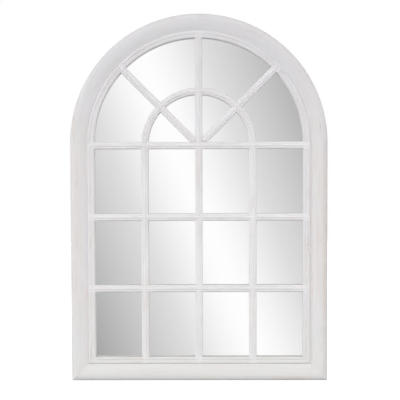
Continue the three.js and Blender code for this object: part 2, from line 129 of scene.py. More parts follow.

# %% [markdown]
# ## Sections
#
# A moulding is a section carried along a line, as a spindle cutter carries its profile along a
# board. Each section below is a short list of points, with its round stretches as arcs. Two more
# lists go with it. Its *ridges* are where hands and sandpaper reach. The second list is where shade
# is painted on: low on the sides of the bars, and low on the border's inner edge, where they meet
# the glass. Both are painted into the mesh, so that the finish can follow the shape.


# %% Arcs and the three sections
def arc(centre, radii, start, end, steps):
    """Points on a part of an ellipse, from one angle to another in degrees."""
    angles = [math.radians(start + (end - start) * i / steps) for i in range(steps + 1)]
    return [(centre[0] + radii[0] * math.cos(a), centre[1] + radii[1] * math.sin(a)) for a in angles]


def frame_section():
    drop = FRAME_DEPTH - VALLEY_HEIGHT
    run = VALLEY_INSET - CREST_INSET
    radius = (run * run + drop * drop) / (2 * drop)
    fall = math.degrees(math.asin(run / radius))
    shoulder = (CREST_INSET, FRAME_DEPTH - SIDE_HEIGHT)
    return [
        *arc((ARRIS, ARRIS), (ARRIS, ARRIS), 270, 180, 3),
        *arc((CREST_INSET, SIDE_HEIGHT), shoulder, 180, 90, 16),
        *arc((CREST_INSET, FRAME_DEPTH - radius), (radius, radius), 90, 90 - fall, 12)[1:],
        (VALLEY_INSET, LEDGE_HEIGHT),
        (LEDGE_INSET, LEDGE_HEIGHT),
        (LEDGE_INSET, BOARD_SEAT),
        (BOARD_INSET, BOARD_SEAT),
        *arc((BOARD_INSET - ARRIS, ARRIS), (ARRIS, ARRIS), 0, -90, 3),
    ]


def border_section():
    outer = VALLEY_INSET + SEAT
    rise = BORDER_HEIGHT - VALLEY_HEIGHT
    radius = (COVE_WIDTH * COVE_WIDTH / 4 + COVE_DEPTH * COVE_DEPTH) / (2 * COVE_DEPTH)
    open_angle = math.degrees(math.asin(COVE_WIDTH / 2 / radius))
    cove = (COVE_INSET, BORDER_HEIGHT - COVE_DEPTH + radius)
    lip = (SIGHT_INSET - BORDER_LIP, BORDER_HEIGHT - BORDER_LIP)
    return [
        (outer, LEDGE_HEIGHT + SEAT),
        *arc((outer + BORDER_FLANK, VALLEY_HEIGHT), (BORDER_FLANK, rise), 180, 90, 8),
        *arc(cove, (radius, radius), 270 - open_angle, 270 + open_angle, 8),
        *arc(lip, (BORDER_LIP, BORDER_LIP), 90, 0, 7),
        (SIGHT_INSET, LEDGE_HEIGHT + SEAT),
    ]


def bar_section():
    side = BEAD_HALF + QUIRK_WIDTH
    foot = math.radians(BEAD_FOOT)
    bead = (BEAD_HALF / math.cos(foot), BEAD_RISE / (1 - math.sin(foot)))
    band = (BAR_HALF - side, BAR_SIDE_HEIGHT - BAR_SHOULDER)
    return [
        (-BAR_HALF, LEDGE_HEIGHT + SEAT),
        *arc((-side, BAR_SHOULDER), band, 180, 90, 7),
        *arc((0, BAR_HEIGHT - bead[1]), bead, 180 - BEAD_FOOT, BEAD_FOOT, 12),
        *arc((side, BAR_SHOULDER), band, 90, 0, 7),
        (BAR_HALF, LEDGE_HEIGHT + SEAT),
    ]


def block_section(half_width, low, high):
    return [(-half_width, low), (half_width, low), (half_width, high), (-half_width, high)]


SECTIONS = {
    "frame": {
        "outline": frame_section(),
        "ridges": [SHOULDER_RIDGE, (CREST_INSET, FRAME_DEPTH)],
        "hollows": [],
    },
    "border": {
        "outline": border_section(),
        "ridges": [(inset, BORDER_HEIGHT) for inset in LIP_RIDGES],
        # Painted shade at the border's foot, where it meets the glass.
        "hollows": [(SIGHT_INSET, LEDGE_HEIGHT)],
    },
    "bar": {
        "outline": bar_section(),
        "ridges": [(-BAND_RIDGE[0], BAND_RIDGE[1]), (0, BAR_HEIGHT), BAND_RIDGE],
        # Painted shade low on both sides of a bar, where it meets the glass.
        "hollows": [(side * BAR_HALF, LEDGE_HEIGHT + rise) for side in (-1, 1)
                    for rise in (0, SIDE_SHADE)],
    },
}
print({name: len(section["outline"]) for name, section in SECTIONS.items()}, "points")

# %% [markdown]
# ## Runs
#
# A straight run extrudes a section from one point to another. An arched run spins it about the
# centre of the arch, which is how a curved member keeps the same moulding as a straight one. Both
# know how far along the grain a point lies, and that becomes the U of the piece's own UV map. The
# distance round the section becomes the V, so wood grain and brush marks follow the moulding.


# %% New parts of a mesh
def only(kind, parts):
    """The vertices or the edges among some parts of a mesh."""
    return [part for part in parts if isinstance(part, kind)]


def extruded(mesh, parts, way):
    """Extrudes faces along a way, and returns what was made."""
    made = bmesh.ops.extrude_face_region(mesh, geom=parts)["geom"]
    bmesh.ops.translate(mesh, vec=way, verts=only(BMVert, made))
    return made


def cut(mesh, point, away, clear=True):
    """Cuts along a plane, and returns the rim. What lies beyond comes off if it is to be clear."""
    everything = [*mesh.verts, *mesh.edges, *mesh.faces]
    made = bmesh.ops.bisect_plane(mesh, geom=everything, plane_co=point, plane_no=away,
                                  clear_outer=clear)
    return only(BMEdge, made["geom_cut"])


# %% Straight and arched runs
PARALLEL = 0.999  # of a run's length, at least, for an edge that follows it


class StraightRun:
    """A way from one (x, z) point to another. Across is to the left of the way it goes."""

    def __init__(self, start, end):
        self.start = at(start[0], start[1], 0)
        self.along = (at(end[0], end[1], 0) - self.start).normalized()
        self.length = (at(end[0], end[1], 0) - self.start).length
        self.across = Vector((-self.along.z, 0, self.along.x))

    def place(self, across, height):
        return self.start + self.across * across + Vector((0, -height, 0))

    def carry(self, mesh, face):
        extruded(mesh, [face], self.along * self.length)
        long_edges = [edge for edge in mesh.edges if self.follows(edge)]
        cuts = max(1, round(self.length / STATION))
        bmesh.ops.subdivide_edges(mesh, edges=long_edges, cuts=cuts, use_grid_fill=True)

    def follows(self, edge):
        way = edge.verts[1].co - edge.verts[0].co
        return abs(way.dot(self.along)) > self.length * PARALLEL

    def distance(self, point):
        return (point - self.start).dot(self.along)

    def inset(self, point):
        return (point - self.start).dot(self.across)


class ArchedRun:
    """A half circle over a centre. Across points inwards, to the centre."""

    def __init__(self, radius, centre_z):
        self.radius = radius
        self.centre = at(0, centre_z, 0)

    def place(self, across, height):
        return self.centre + Vector((self.radius - across, -height, 0))

    def carry(self, mesh, face):
        steps = round(math.pi * self.radius / STATION)
        bmesh.ops.spin(mesh, geom=[face, *face.edges, *face.verts], cent=self.centre,
                       axis=(0, -1, 0), angle=math.pi, steps=steps, use_merge=False)

    def distance(self, point):
        turn = math.atan2(point.z - self.centre.z, point.x)
        return (turn % math.tau) * self.radius

    def inset(self, point):
        return self.radius - math.hypot(point.x, point.z - self.centre.z)


# %% Sweep a section along a run
REACH = 2.6 * MM  # how far wear or painted shade spreads from its line


def nearness(point, lines):
    """From 1 on one of the lines to 0 away from them all."""
    if not lines:
        return 0.0
    gap = min(math.dist(point, line) for line in lines)
    return math.exp(-((gap / REACH) ** 2))


def sweep(section, run, ridges=(), hollows=()):
    """A closed solid that carries its girth, wear and painted shade on its vertices."""
    mesh = bmesh.new()
    girth_of = mesh.verts.layers.float.new("girth")
    ridge_of = mesh.verts.layers.float.new("ridge")
    hollow_of = mesh.verts.layers.float.new("hollow")
    girth = 0.0
    corners = []
    for i, point in enumerate(section):
        girth += math.dist(section[i - 1], point) if i else 0.0
        corner = mesh.verts.new(run.place(*point))
        corner[girth_of] = girth
        corner[ridge_of] = nearness(point, ridges)
        # Painted shade: darker near the lines where a bar or the border meets the glass.
        corner[hollow_of] = nearness(point, hollows)
        corners.append(corner)
    run.carry(mesh, mesh.faces.new(corners))
    bmesh.ops.recalc_face_normals(mesh, faces=mesh.faces)
    return mesh


def moulding(kind, run):
    section = SECTIONS[kind]
    return sweep(section["outline"], run, section["ridges"], section["hollows"])


# %% [markdown]
# ## Cutting to length
#
# A swept moulding runs on past its joint and is then sawn, at 45 degrees for a mitre and square at
# the springing and the crown. The joint counts as a slight hollow, so a little glaze gathers in it
# as a hairline under the paint. A thin second ring of vertices beside it keeps the glaze in there.

# %% Saw, and turn a sweep into an object
JOINT_STAIN = 0.7 * MM  # width of the hairline on each side
JOINT_GLAZE = 0.25  # of the glaze in a full hollow


def saw(mesh, point, away):
    """Cuts off what lies beyond a plane, and closes the cut."""
    away = Vector(away).normalized()
    cut(mesh, point - away * JOINT_STAIN, away, clear=False)
    rim = cut(mesh, point, away)
    bmesh.ops.contextual_create(mesh, geom=rim)
    hollow_of = mesh.verts.layers.float["hollow"]
    for edge in rim:
        for corner in edge.verts:
            corner[hollow_of] = JOINT_GLAZE


def shown(name, mesh):
    """A plain object with the mesh, in the scene."""
    data = bpy.data.meshes.new(name)
    mesh.to_mesh(data)
    mesh.free()
    piece = bpy.data.objects.new(name, data)
    bpy.context.scene.collection.objects.link(piece)
    return piece


NEXT_ALONG = 1.7  # the next board starts so far on, along its grain and round it
NEXT_ROUND = 0.31


def timber(name, mesh, run, board):
    """An object with two UV maps: "grain" in metres along and round it, and one for wear and painted
    shade.

    Each board number starts at another stretch of grain, so no two boards look alike. The flat back
    closes the section, so there the way round is counted on from the outer edge inwards.
    """
    grain = mesh.loops.layers.uv.new("grain")
    wear_and_shade = mesh.loops.layers.uv.new("wear_and_shade")
    girth_of = mesh.verts.layers.float["girth"]
    ridge_of = mesh.verts.layers.float["ridge"]
    hollow_of = mesh.verts.layers.float["hollow"]
    whole = max(corner[girth_of] for corner in mesh.verts)
    back_y = max(corner.co.y for corner in mesh.verts)
    for face in mesh.faces:
        on_back = all(back_y - corner.co.y < WELD for corner in face.verts)
        for loop in face.loops:
            corner = loop.vert
            girth = whole + run.inset(corner.co) if on_back else corner[girth_of]
            along = run.distance(corner.co)
            loop[grain].uv = (along + NEXT_ALONG * board, girth + NEXT_ROUND * board)
            # U is wear; V is painted shade, and the joints' hairlines.
            loop[wear_and_shade].uv = (corner[ridge_of], corner[hollow_of])
    return shown(name, mesh)


def carved(piece, tools, how):
    """Joins or cuts a piece with others, and keeps its UV maps."""
    for tool in tools:
        step = piece.modifiers.new("carve", "BOOLEAN")
        step.solver = "MANIFOLD"
        step.operation = how
        step.object = tool
    graph = bpy.context.evaluated_depsgraph_get()
    data = bpy.data.meshes.new_from_object(piece.evaluated_get(graph), depsgraph=graph,
                                           preserve_all_data_layers=True)
    piece.modifiers.clear()
    piece.data = data
    return piece


def copy_of(piece):
    twin = piece.copy()
    twin.data = piece.data.copy()
    bpy.context.scene.collection.objects.link(twin)
    return twin


def thrown_away(pieces):
    for piece in pieces:
        bpy.data.objects.remove(piece)


# %% [markdown]
# ## Frame and border
#
# Five boards make the frame and five mouldings make the border: the bottom rail, two stiles, and an
# arch in two halves. The corners are mitred and the other joints are square. One table says where
# each board runs and where it is sawn, and both sets are made from it.

# %% Where the members run, and where they are sawn
corner = {side: at(side * HALF_WIDTH, BOTTOM_Z, 0) for side in (-1, 1)}
springing = at(0, SPRING_Z, 0)
crown_run = ArchedRun(HALF_WIDTH, SPRING_Z)

MEMBERS = {
    "bottom": (
        StraightRun((-HALF_WIDTH, BOTTOM_Z), (HALF_WIDTH, BOTTOM_Z)),
        [(corner[-1], (-1, 0, 1)), (corner[1], (1, 0, 1))]),
    "right": (
        StraightRun((HALF_WIDTH, BOTTOM_Z), (HALF_WIDTH, SPRING_Z)),
        [(corner[1], (-1, 0, -1)), (springing, (0, 0, 1))]),
    "left": (
        StraightRun((-HALF_WIDTH, SPRING_Z), (-HALF_WIDTH, BOTTOM_Z)),
        [(corner[-1], (1, 0, -1)), (springing, (0, 0, 1))]),
    "arch_right": (crown_run, [(springing, (-1, 0, 0)), (springing, (0, 0, -1))]),
    "arch_left": (crown_run, [(springing, (1, 0, 0)), (springing, (0, 0, -1))]),
}


def member(kind, name, board, gap):
    run, cuts = MEMBERS[name]
    mesh = moulding(kind, run)
    for point, away in cuts:
        saw(mesh, point - Vector(away).normalized() * gap / 2, away)
    return timber(f"{kind}_{name}_wood", mesh, run, board)


frame_boards = {name: member("frame", name, i, JOINT) for i, name in enumerate(MEMBERS)}
border_boards = {name: member("border", name, i + 5, JOINT) for i, name in enumerate(MEMBERS)}
members = [*frame_boards.values(), *border_boards.values()]
print("frame and border:", sum(len(piece.data.polygons) for piece in members), "faces")

# %% [markdown]
# ## Glazing bars
#
# A window joiner halves two crossing bars into each other, so that both run through and their
# mouldings meet in the middle. The same is done here with solids. For each crossing, the front bar
# takes in the other's moulding within the square they share, then each gives up the half that the
# other keeps. The bars also lie over the border, whose shape they take in at their ends.

# %% Where the bars run
column = middle("upright_right").x
transom_z = middle("transom").z
crossbar_places = {name: middle(name).z for name in ("crossbar_1", "crossbar_2")}
BAR_RUNS = {
    "upright_centre": StraightRun((0, BOTTOM_Z), (0, SPRING_Z + HALF_WIDTH)),
    "upright_left": StraightRun((-column, BOTTOM_Z), (-column, transom_z + BAR_HALF)),
    "upright_right": StraightRun((column, BOTTOM_Z), (column, transom_z + BAR_HALF)),
    "transom": StraightRun((-HALF_WIDTH, transom_z), (HALF_WIDTH, transom_z)),
    "diagonal_left": StraightRun((0, transom_z), (-HALF_WIDTH, transom_z + HALF_WIDTH)),
    "diagonal_right": StraightRun((0, transom_z), (HALF_WIDTH, transom_z + HALF_WIDTH)),
    "fan_arch": ArchedRun(column, transom_z),
}
for name, z in crossbar_places.items():
    BAR_RUNS[name] = StraightRun((-HALF_WIDTH, z), (HALF_WIDTH, z))

uprights = ["upright_centre", "upright_left", "upright_right"]
CROSSINGS = [(upright, other) for upright in uprights for other in ("transom", *crossbar_places)]
CROSSINGS += [("fan_arch", other) for other in ("upright_centre", "diagonal_left", "diagonal_right")]
print(len(BAR_RUNS), "bars,", len(CROSSINGS), "crossings")

# %% Cutting blocks
front_low = LAP_HEIGHT + SEAT
back_high = LAP_HEIGHT - SEAT
IN_FRONT = FRAME_DEPTH + BEYOND
FEWEST_STEPS = 12  # round a half circle


def block(name, growth, low, high):
    """A plain block along a bar's run, as wide as the bar and a little more."""
    section = block_section(BAR_HALF + growth, low, high)
    return shown("block", sweep(section, BAR_RUNS[name]))


def round_ended_plate(x, foot_z, turn_z, radius, low, high, step=STATION):
    """A plate that is square at its foot and a half circle at its other end, up or down."""
    mesh = bmesh.new()
    foot = mesh.verts.new(at(x + radius, foot_z, low))
    turn = mesh.verts.new(at(x + radius, turn_z, low))
    mesh.edges.new((foot, turn))
    way = -1 if turn_z > foot_z else 1
    steps = max(FEWEST_STEPS, round(math.pi * radius / step))
    bmesh.ops.spin(mesh, geom=[turn], cent=at(x, turn_z, low), axis=(0, way, 0), angle=math.pi,
                   steps=steps, use_merge=False)
    mesh.verts.ensure_lookup_table()
    last = mesh.verts[-1]
    other_foot = mesh.verts.new(at(x - radius, foot_z, low))
    mesh.edges.new((last, other_foot))
    mesh.edges.new((other_foot, foot))
    outline = bmesh.ops.contextual_create(mesh, geom=mesh.edges[:])["faces"]
    extruded(mesh, outline, (0, low - high, 0))
    bmesh.ops.recalc_face_normals(mesh, faces=mesh.faces)
    return mesh


def arched_plate(inset, low, high):
    """A plate with the outline of the mirror, set in from its outer edge."""
    return round_ended_plate(0, BOTTOM_Z + inset, SPRING_Z, HALF_WIDTH - inset, low, high)


# %% Whole bars, then their crossings and ends
socket = shown("socket", arched_plate(SIGHT_INSET + SEAT, -BEYOND, front_low))
over_border = shown("over", arched_plate(BAR_END_INSET, front_low, IN_FRONT))
carved(socket, [over_border], "UNION")
whole_border = member("border", "bottom", 5, 0)
border_parts = [member("border", name, i + 6, 0) for i, name in enumerate(list(MEMBERS)[1:])]
carved(whole_border, border_parts, "UNION")

whole = {}
for i, (name, run) in enumerate(BAR_RUNS.items()):
    whole[name] = timber(f"{name}_whole", moulding("bar", run), run, i + 10)
front_blocks = {name: block(name, 0, front_low, IN_FRONT) for name in BAR_RUNS}
front_housings = {name: block(name, SEAT, back_high, IN_FRONT) for name in BAR_RUNS}
back_housings = {name: block(name, SEAT, -BEYOND, front_low) for name in BAR_RUNS}

bars = {}
for name in BAR_RUNS:
    bars[name] = carved(copy_of(whole[name]), [socket], "INTERSECT")
    end = carved(copy_of(whole_border), [over_border, front_blocks[name]], "INTERSECT")
    carved(bars[name], [end], "UNION")
    thrown_away([end])
for over, under in CROSSINGS:
    meeting = carved(copy_of(whole[under]), [front_blocks[over], front_blocks[under]], "INTERSECT")
    carved(bars[over], [meeting], "UNION")
    thrown_away([meeting])
for over, under in CROSSINGS:
    carved(bars[over], [back_housings[under]], "DIFFERENCE")
    carved(bars[under], [front_housings[over]], "DIFFERENCE")
print("bars crossed:", {name: len(piece.data.polygons) for name, piece in bars.items()})

# %% Butt the diagonals, stand the fan arch on the uprights, and house the ends in the border
for name in ("diagonal_left", "diagonal_right"):
    butts = [block(other, SEAT, -BEYOND, IN_FRONT) for other in ("upright_centre", "transom")]
    carved(bars[name], butts, "DIFFERENCE")
    thrown_away(butts)


def halved(piece, name, side):
    """One half of the fan arch, cut at the crown and above the transom."""
    mesh = bmesh.new()
    mesh.from_mesh(piece.data)
    foot = at(side * SEAT, transom_z + BAR_HALF + SEAT, 0)
    for away in ((-side, 0, 0), (0, 0, -1)):
        bmesh.ops.holes_fill(mesh, edges=cut(mesh, foot, away))
    return shown(name, mesh)


fan = bars.pop("fan_arch")
for side, sign in (("left", -1), ("right", 1)):
    bars[f"fan_arch_{side}"] = halved(fan, f"fan_arch_{side}_bar", sign)

border_housing = shown("reach", arched_plate(BAR_END_INSET - SEAT, back_high, IN_FRONT))
end_housings = [carved(copy_of(piece), [border_housing], "INTERSECT")
                for name, piece in front_housings.items() if name != "fan_arch"]
for piece in border_boards.values():
    carved(piece, end_housings, "DIFFERENCE")

thrown_away([fan, socket, over_border, whole_border, border_housing, *border_parts, *whole.values(),
             *front_blocks.values(), *front_housings.values(), *back_housings.values(),
             *end_housings])
for name, piece in bars.items():
    piece.name = f"{name}_bar"
print(len(bars), "bars cut to fit")

# %% [markdown]
# ## Sheets behind the border
#
# The mirror is one sheet of 3 mm silvered glass with ground edges. It rests against the ledge, and
# a hardboard back holds it there. The glass goes in first, then a cushion of card, then the board
# with its screws. A Bevel modifier rounds their edges a little, as grinding and sawing do.


# %% Mirror glass and back board
def edged(piece, width):
    """Rounds the sharp edges of a piece."""
    step = piece.modifiers.new("edges", "BEVEL")
    step.width = width
    step.segments = 2
    step.limit_method = "ANGLE"
    step.angle_limit = math.radians(40)
    step.use_clamp_overlap = True
    return piece


def sheet_of(node, name, inset):
    """A plate as thick and as high as a construction piece, with the mirror's outline."""
    low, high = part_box(node)
    return shown(name, arched_plate(inset, BACK_Y - high.y, BACK_Y - low.y))


GLASS_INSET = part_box("mirror_glass")[0].x + HALF_WIDTH
BOARD_EDGE_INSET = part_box("back_board")[0].x + HALF_WIDTH
GROUND_EDGE = 0.4 * MM
SAWN_EDGE = 0.3 * MM
glass = edged(sheet_of("mirror_glass", "mirror_sheet", GLASS_INSET), GROUND_EDGE)
board = edged(sheet_of("back_board", "back_panel", BOARD_EDGE_INSET), SAWN_EDGE)
print(f"glass {GLASS_INSET / MM:.1f} mm, board {BOARD_EDGE_INSET / MM:.1f} mm from the edge")

# %% [markdown]
# ## Screws
#
# A pan head is turned like on a lathe: half of its outline is spun about the screw's axis. Its cross
# recess is then cut with two crossed, tapered blades. Every screw is the same mesh, moved to its
# place and turned a little differently, because nobody stops a screwdriver at the same angle.


# %% Turned pieces and cross-headed screws
HEAD_RIM = 0.35  # of a head's height is its upright rim
RIM_ROUND = 0.6  # the rim's rounding, by its height
BLADE = (1.05, 1.5, 0.24)  # across, along and thick, by the head's radius and height
BLADE_TIP = (0.45, 1, 0.6)  # how much narrower it is at its deep end
BLADE_RISE = 0.95  # of the head's height, for the blade's middle
SCREW_SIDES = 28


def turned(profile, x, z, sides):
    """A round piece about a line square to the back, from (radius, height) points."""
    mesh = bmesh.new()
    corners = [mesh.verts.new(at(x + radius, z, height)) for radius, height in profile]
    edges = [mesh.edges.new(pair) for pair in zip(corners, corners[1:])]
    bmesh.ops.spin(mesh, geom=[*corners, *edges], cent=at(x, z, 0), axis=(0, 1, 0),
                   angle=math.tau, steps=sides, use_merge=True)
    bmesh.ops.remove_doubles(mesh, verts=mesh.verts, dist=WELD)
    bmesh.ops.recalc_face_normals(mesh, faces=mesh.faces)
    return mesh


def cross_blades(head, tall):
    """Two crossed blades that narrow into the head of a screw at the origin."""
    mesh = bmesh.new()
    for turn in (0, 90):
        blade = bmesh.ops.create_cube(mesh, size=1)["verts"]
        size = (head * BLADE[0], tall * BLADE[1], head * BLADE[2])
        bmesh.ops.scale(mesh, vec=size, verts=blade)
        deep = [corner for corner in blade if corner.co.y < 0]
        bmesh.ops.scale(mesh, vec=BLADE_TIP, verts=deep)
        bmesh.ops.rotate(mesh, matrix=Matrix.Rotation(math.radians(turn), 3, "Y"), verts=blade)
    bmesh.ops.translate(mesh, vec=at(0, 0, -tall * BLADE_RISE), verts=mesh.verts)
    return shown("blades", mesh)


def screw(head, tall, shank, length):
    """A pan-head screw at the origin, the underside of its head at height 0."""
    rim = tall * HEAD_RIM
    soft = rim * RIM_ROUND
    profile = [
        *arc((0, -rim), (head, tall - rim), 270, 360, 7),
        *arc((head - soft, soft - rim), (soft, rim - soft), 0, 90, 2),
        (shank, 0),
        (shank, length - 2 * shank),
        (0, length),
    ]
    made = shown("screw", turned(profile, 0, 0, SCREW_SIDES))
    blades = cross_blades(head, tall)
    carved(made, [blades], "DIFFERENCE")
    thrown_away([blades])
    return made


# %% Screws in their places
BOARD_SCREW = (3 * MM, 1.8 * MM, 1.5 * MM, 9.5 * MM)  # head radius and height, shank radius, length
STRAP_SCREW = (3.5 * MM, 2 * MM, 1.75 * MM, 16 * MM)
FIRST_TURN = 11  # degrees
NEXT_TURN = 37


def screw_set(size, nodes):
    """One screw for each construction screw, each turned by another angle."""
    pattern = screw(*size)
    axis = Matrix.Translation(at(0, 0, 0))
    made = []
    for i, node in enumerate(nodes):
        turn = Matrix.Rotation(math.radians(FIRST_TURN + NEXT_TURN * i), 4, "Y")
        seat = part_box(node)[1].y - size[1] - BACK_Y
        place = Matrix.Translation((middle(node).x, seat, middle(node).z))
        piece = copy_of(pattern)
        piece.name = f"{node}_steel"
        piece.data.transform(place @ axis @ turn @ axis.inverted())
        made.append(piece)
    thrown_away([pattern])
    return made


board_screw_nodes = sorted(name for name in frame["nodes"] if name.startswith("board_screw"))
strap_screw_nodes = sorted(name for name in frame["nodes"] if name.startswith("strap_screw"))
board_screws = screw_set(BOARD_SCREW, board_screw_nodes)
strap_screws = screw_set(STRAP_SCREW, strap_screw_nodes)
print(len(board_screws), "board screws,", len(strap_screws), "strap screws")

# %% [markdown]
# ## Hangers
#
# Each hanger is a steel strap that is bent round the straight side of a D ring, and the ring swings
# in that knuckle. The strap starts as one line, seen from the side: straight up the stile and then
# round the pivot. Extruding the line gives a bent sheet, and a solidify gives it its thickness. The
# ring is a round wire: a circle extruded along the straights and spun round the bends.

# %% Straps
STRAP_HALF = 8 * MM
STRAP_THICK = 1.2 * MM
STRAP_EDGE = 0.25 * MM
KNUCKLE = 3 * MM
BORE = 2 * MM
CURL = 300  # degrees round the pivot
HANGERS = {joint["child"].removeprefix("ring_"): Vector(joint["pos_m"]) for joint in frame["joints"]}


def strap(side):
    pivot = HANGERS[side]
    low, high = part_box(f"hanger_strap_{side}")
    curl = arc((pivot.y, pivot.z), (KNUCKLE, KNUCKLE), 180, 180 - CURL, 25)
    line = [(pivot.y - KNUCKLE, low.z - MM), *curl]
    mesh = bmesh.new()
    corners = [mesh.verts.new((pivot.x - STRAP_HALF, y, z)) for y, z in line]
    edges = [mesh.edges.new(pair) for pair in zip(corners, corners[1:])]
    wide = bmesh.ops.extrude_edge_only(mesh, edges=edges)["geom"]
    bmesh.ops.translate(mesh, vec=(2 * STRAP_HALF, 0, 0), verts=only(BMVert, wide))
    bmesh.ops.recalc_face_normals(mesh, faces=mesh.faces)
    mesh.faces.ensure_lookup_table()
    thickness = STRAP_THICK if mesh.faces[0].normal.y < 0 else -STRAP_THICK
    bmesh.ops.solidify(mesh, geom=mesh.faces[:], thickness=thickness)
    bmesh.ops.recalc_face_normals(mesh, faces=mesh.faces)
    made = shown(f"hanger_strap_{side}_steel", mesh)
    outline = round_ended_plate(pivot.x, pivot.z + 2 * KNUCKLE, low.z + STRAP_HALF, STRAP_HALF,
                                -BEYOND, BEYOND, MM)
    rounding = shown("rounding", outline)
    carved(made, [rounding], "INTERSECT")
    rod = [(0, -BEYOND), (BORE, -BEYOND), (BORE, 0), (0, 0)]
    bores = [shown("bore", turned(rod, middle(name).x, middle(name).z, 32))
             for name in strap_screw_nodes if f"_{side}_" in name]
    carved(made, bores, "DIFFERENCE")
    thrown_away([rounding, *bores])
    return edged(made, STRAP_EDGE)


straps = {side: strap(side) for side in HANGERS}

# %% D rings
WIRE = 1.5 * MM
RING_HALF = 12.5 * MM
RING_CORNER = 3 * MM
RING_LEG = 1.5 * MM
RING_BUTT = 0.2 * MM


def d_ring(side):
    """A wire from one end in the knuckle, round the ring, and back to meet itself there."""
    pivot = HANGERS[side]
    mesh = bmesh.new()
    upright = Matrix.Rotation(math.pi / 2, 4, "Y")
    start = Matrix.Translation(pivot + Vector((RING_BUTT, 0, 0))) @ upright
    circle = bmesh.ops.create_circle(mesh, cap_ends=True, radius=WIRE, segments=16, matrix=start)
    tip = [*circle["verts"], *mesh.edges, *mesh.faces]

    def bend(tip, centre, degrees, steps):
        made = bmesh.ops.spin(mesh, geom=tip, cent=pivot + centre, axis=(0, 1, 0),
                              angle=math.radians(degrees), steps=steps, use_merge=False)
        return made["geom_last"]

    tip = extruded(mesh, tip, (RING_HALF - RING_CORNER - RING_BUTT, 0, 0))
    tip = bend(tip, Vector((RING_HALF - RING_CORNER, 0, -RING_CORNER)), 90, 8)
    tip = extruded(mesh, tip, (0, 0, -RING_LEG))
    tip = bend(tip, Vector((0, 0, -RING_CORNER - RING_LEG)), 180, 40)
    tip = extruded(mesh, tip, (0, 0, RING_LEG))
    tip = bend(tip, Vector((RING_CORNER - RING_HALF, 0, -RING_CORNER)), 90, 8)
    extruded(mesh, tip, (RING_HALF - RING_CORNER - RING_BUTT, 0, 0))
    bmesh.ops.recalc_face_normals(mesh, faces=mesh.faces)
    return shown(f"hanger_ring_{side}_steel", mesh)


rings = {side: d_ring(side) for side in HANGERS}
print("rings", {side: len(piece.data.polygons) for side, piece in rings.items()})

# %% [markdown]
# ## Wall bumpers
#
# Two rubber bumpers keep the lower corners as far off the wall as the hangers keep the upper ones.
# Each is a turned button with a soft edge and a shallow dimple, where its mould pin stood.


# %% Bumpers
DIMPLE = (2.4 * MM, 0.6 * MM)  # radius and depth
SOFT_EDGE = 1.4 * MM
FOOT_EDGE = 0.4 * MM
TAPER = 1 * MM
BUMPER_SIDES = 48


def bumper(side):
    node = f"wall_bumper_{side}"
    low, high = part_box(node)
    wide = (high.x - low.x) / 2
    wall, seat = BACK_Y - high.y, BACK_Y - low.y
    profile = [
        (0, wall + DIMPLE[1]),
        *arc((0, wall), DIMPLE, 60, 0, 3),
        *arc((wide - TAPER - SOFT_EDGE, wall + SOFT_EDGE), (SOFT_EDGE, SOFT_EDGE), 270, 345, 5),
        *arc((wide - FOOT_EDGE, seat - FOOT_EDGE), (FOOT_EDGE, FOOT_EDGE), 0, 90, 2),
        (0, seat),
    ]
    return shown(f"{node}_rubber", turned(profile, middle(node).x, middle(node).z, BUMPER_SIDES))


bumpers = {side: bumper(side) for side in HANGERS}
print("bumpers", {side: len(piece.data.polygons) for side, piece in bumpers.items()})

# %% [markdown]
# ## Wiring a finish
#
# A finish is a tree of nodes. Small helpers keep the trees short to write: they place a node and join
# its inputs, mix two colours, lay one colour over another where a mask is, and open a node group
# with named inputs and outputs. A group is an effect that several finishes share, such as dust.


# %% Node helpers
def wire(tree, kind, inputs=None, **settings):
    """A node with its settings, its inputs given as values or as sockets to join."""
    node = tree.nodes.new(kind)
    for name, value in settings.items():
        setattr(node, name, value)
    for key, value in (inputs or {}).items():
        if isinstance(value, bpy.types.NodeSocket):
            tree.links.new(value, node.inputs[key])
        else:
            node.inputs[key].default_value = value
    return node


def mixed(tree, share, first, second):
    """Two colours mixed by a share from 0 to 1."""
    return wire(tree, "ShaderNodeMix", {0: share, 6: first, 7: second}, data_type="RGBA").outputs[2]


def reckon(tree, operation, first, second=0.0, third=0.0, clamp=False):
    """One step of arithmetic on values."""
    inputs = {0: first, 1: second, 2: third}
    return wire(tree, "ShaderNodeMath", inputs, operation=operation, use_clamp=clamp).outputs[0]


def times(tree, first, second):
    return reckon(tree, "MULTIPLY", first, second)


def coat(tree, base, mask, share, colour):
    """A colour over a base where a mask is, with a share of its strength."""
    return mixed(tree, times(tree, mask, share), base, colour)


def spread(tree, value, low, high, to_low=0.0, to_high=1.0):
    """A value stretched from one range to another, smoothly and within it."""
    inputs = {0: value, 1: low, 2: high, 3: to_low, 4: to_high}
    return wire(tree, "ShaderNodeMapRange", inputs, interpolation_type="SMOOTHSTEP").outputs[0]


def stretched(tree, vector, scale):
    return wire(tree, "ShaderNodeVectorMath", {0: vector, 1: scale}, operation="MULTIPLY").outputs[0]


def parted(tree, vector):
    """The three parts of a vector."""
    return wire(tree, "ShaderNodeSeparateXYZ", {0: vector}).outputs


def own_place(tree):
    """Where a point lies on its piece, in metres."""
    return wire(tree, "ShaderNodeTexCoord").outputs["Object"]


def cloudy(tree, vector, scale, detail=3.0, roughness=0.5, distortion=0.0):
    """Soft noise from 0 to 1."""
    inputs = {"Vector": vector, "Scale": scale, "Detail": detail, "Roughness": roughness,
              "Distortion": distortion}
    return wire(tree, "ShaderNodeTexNoise", inputs).outputs[0]


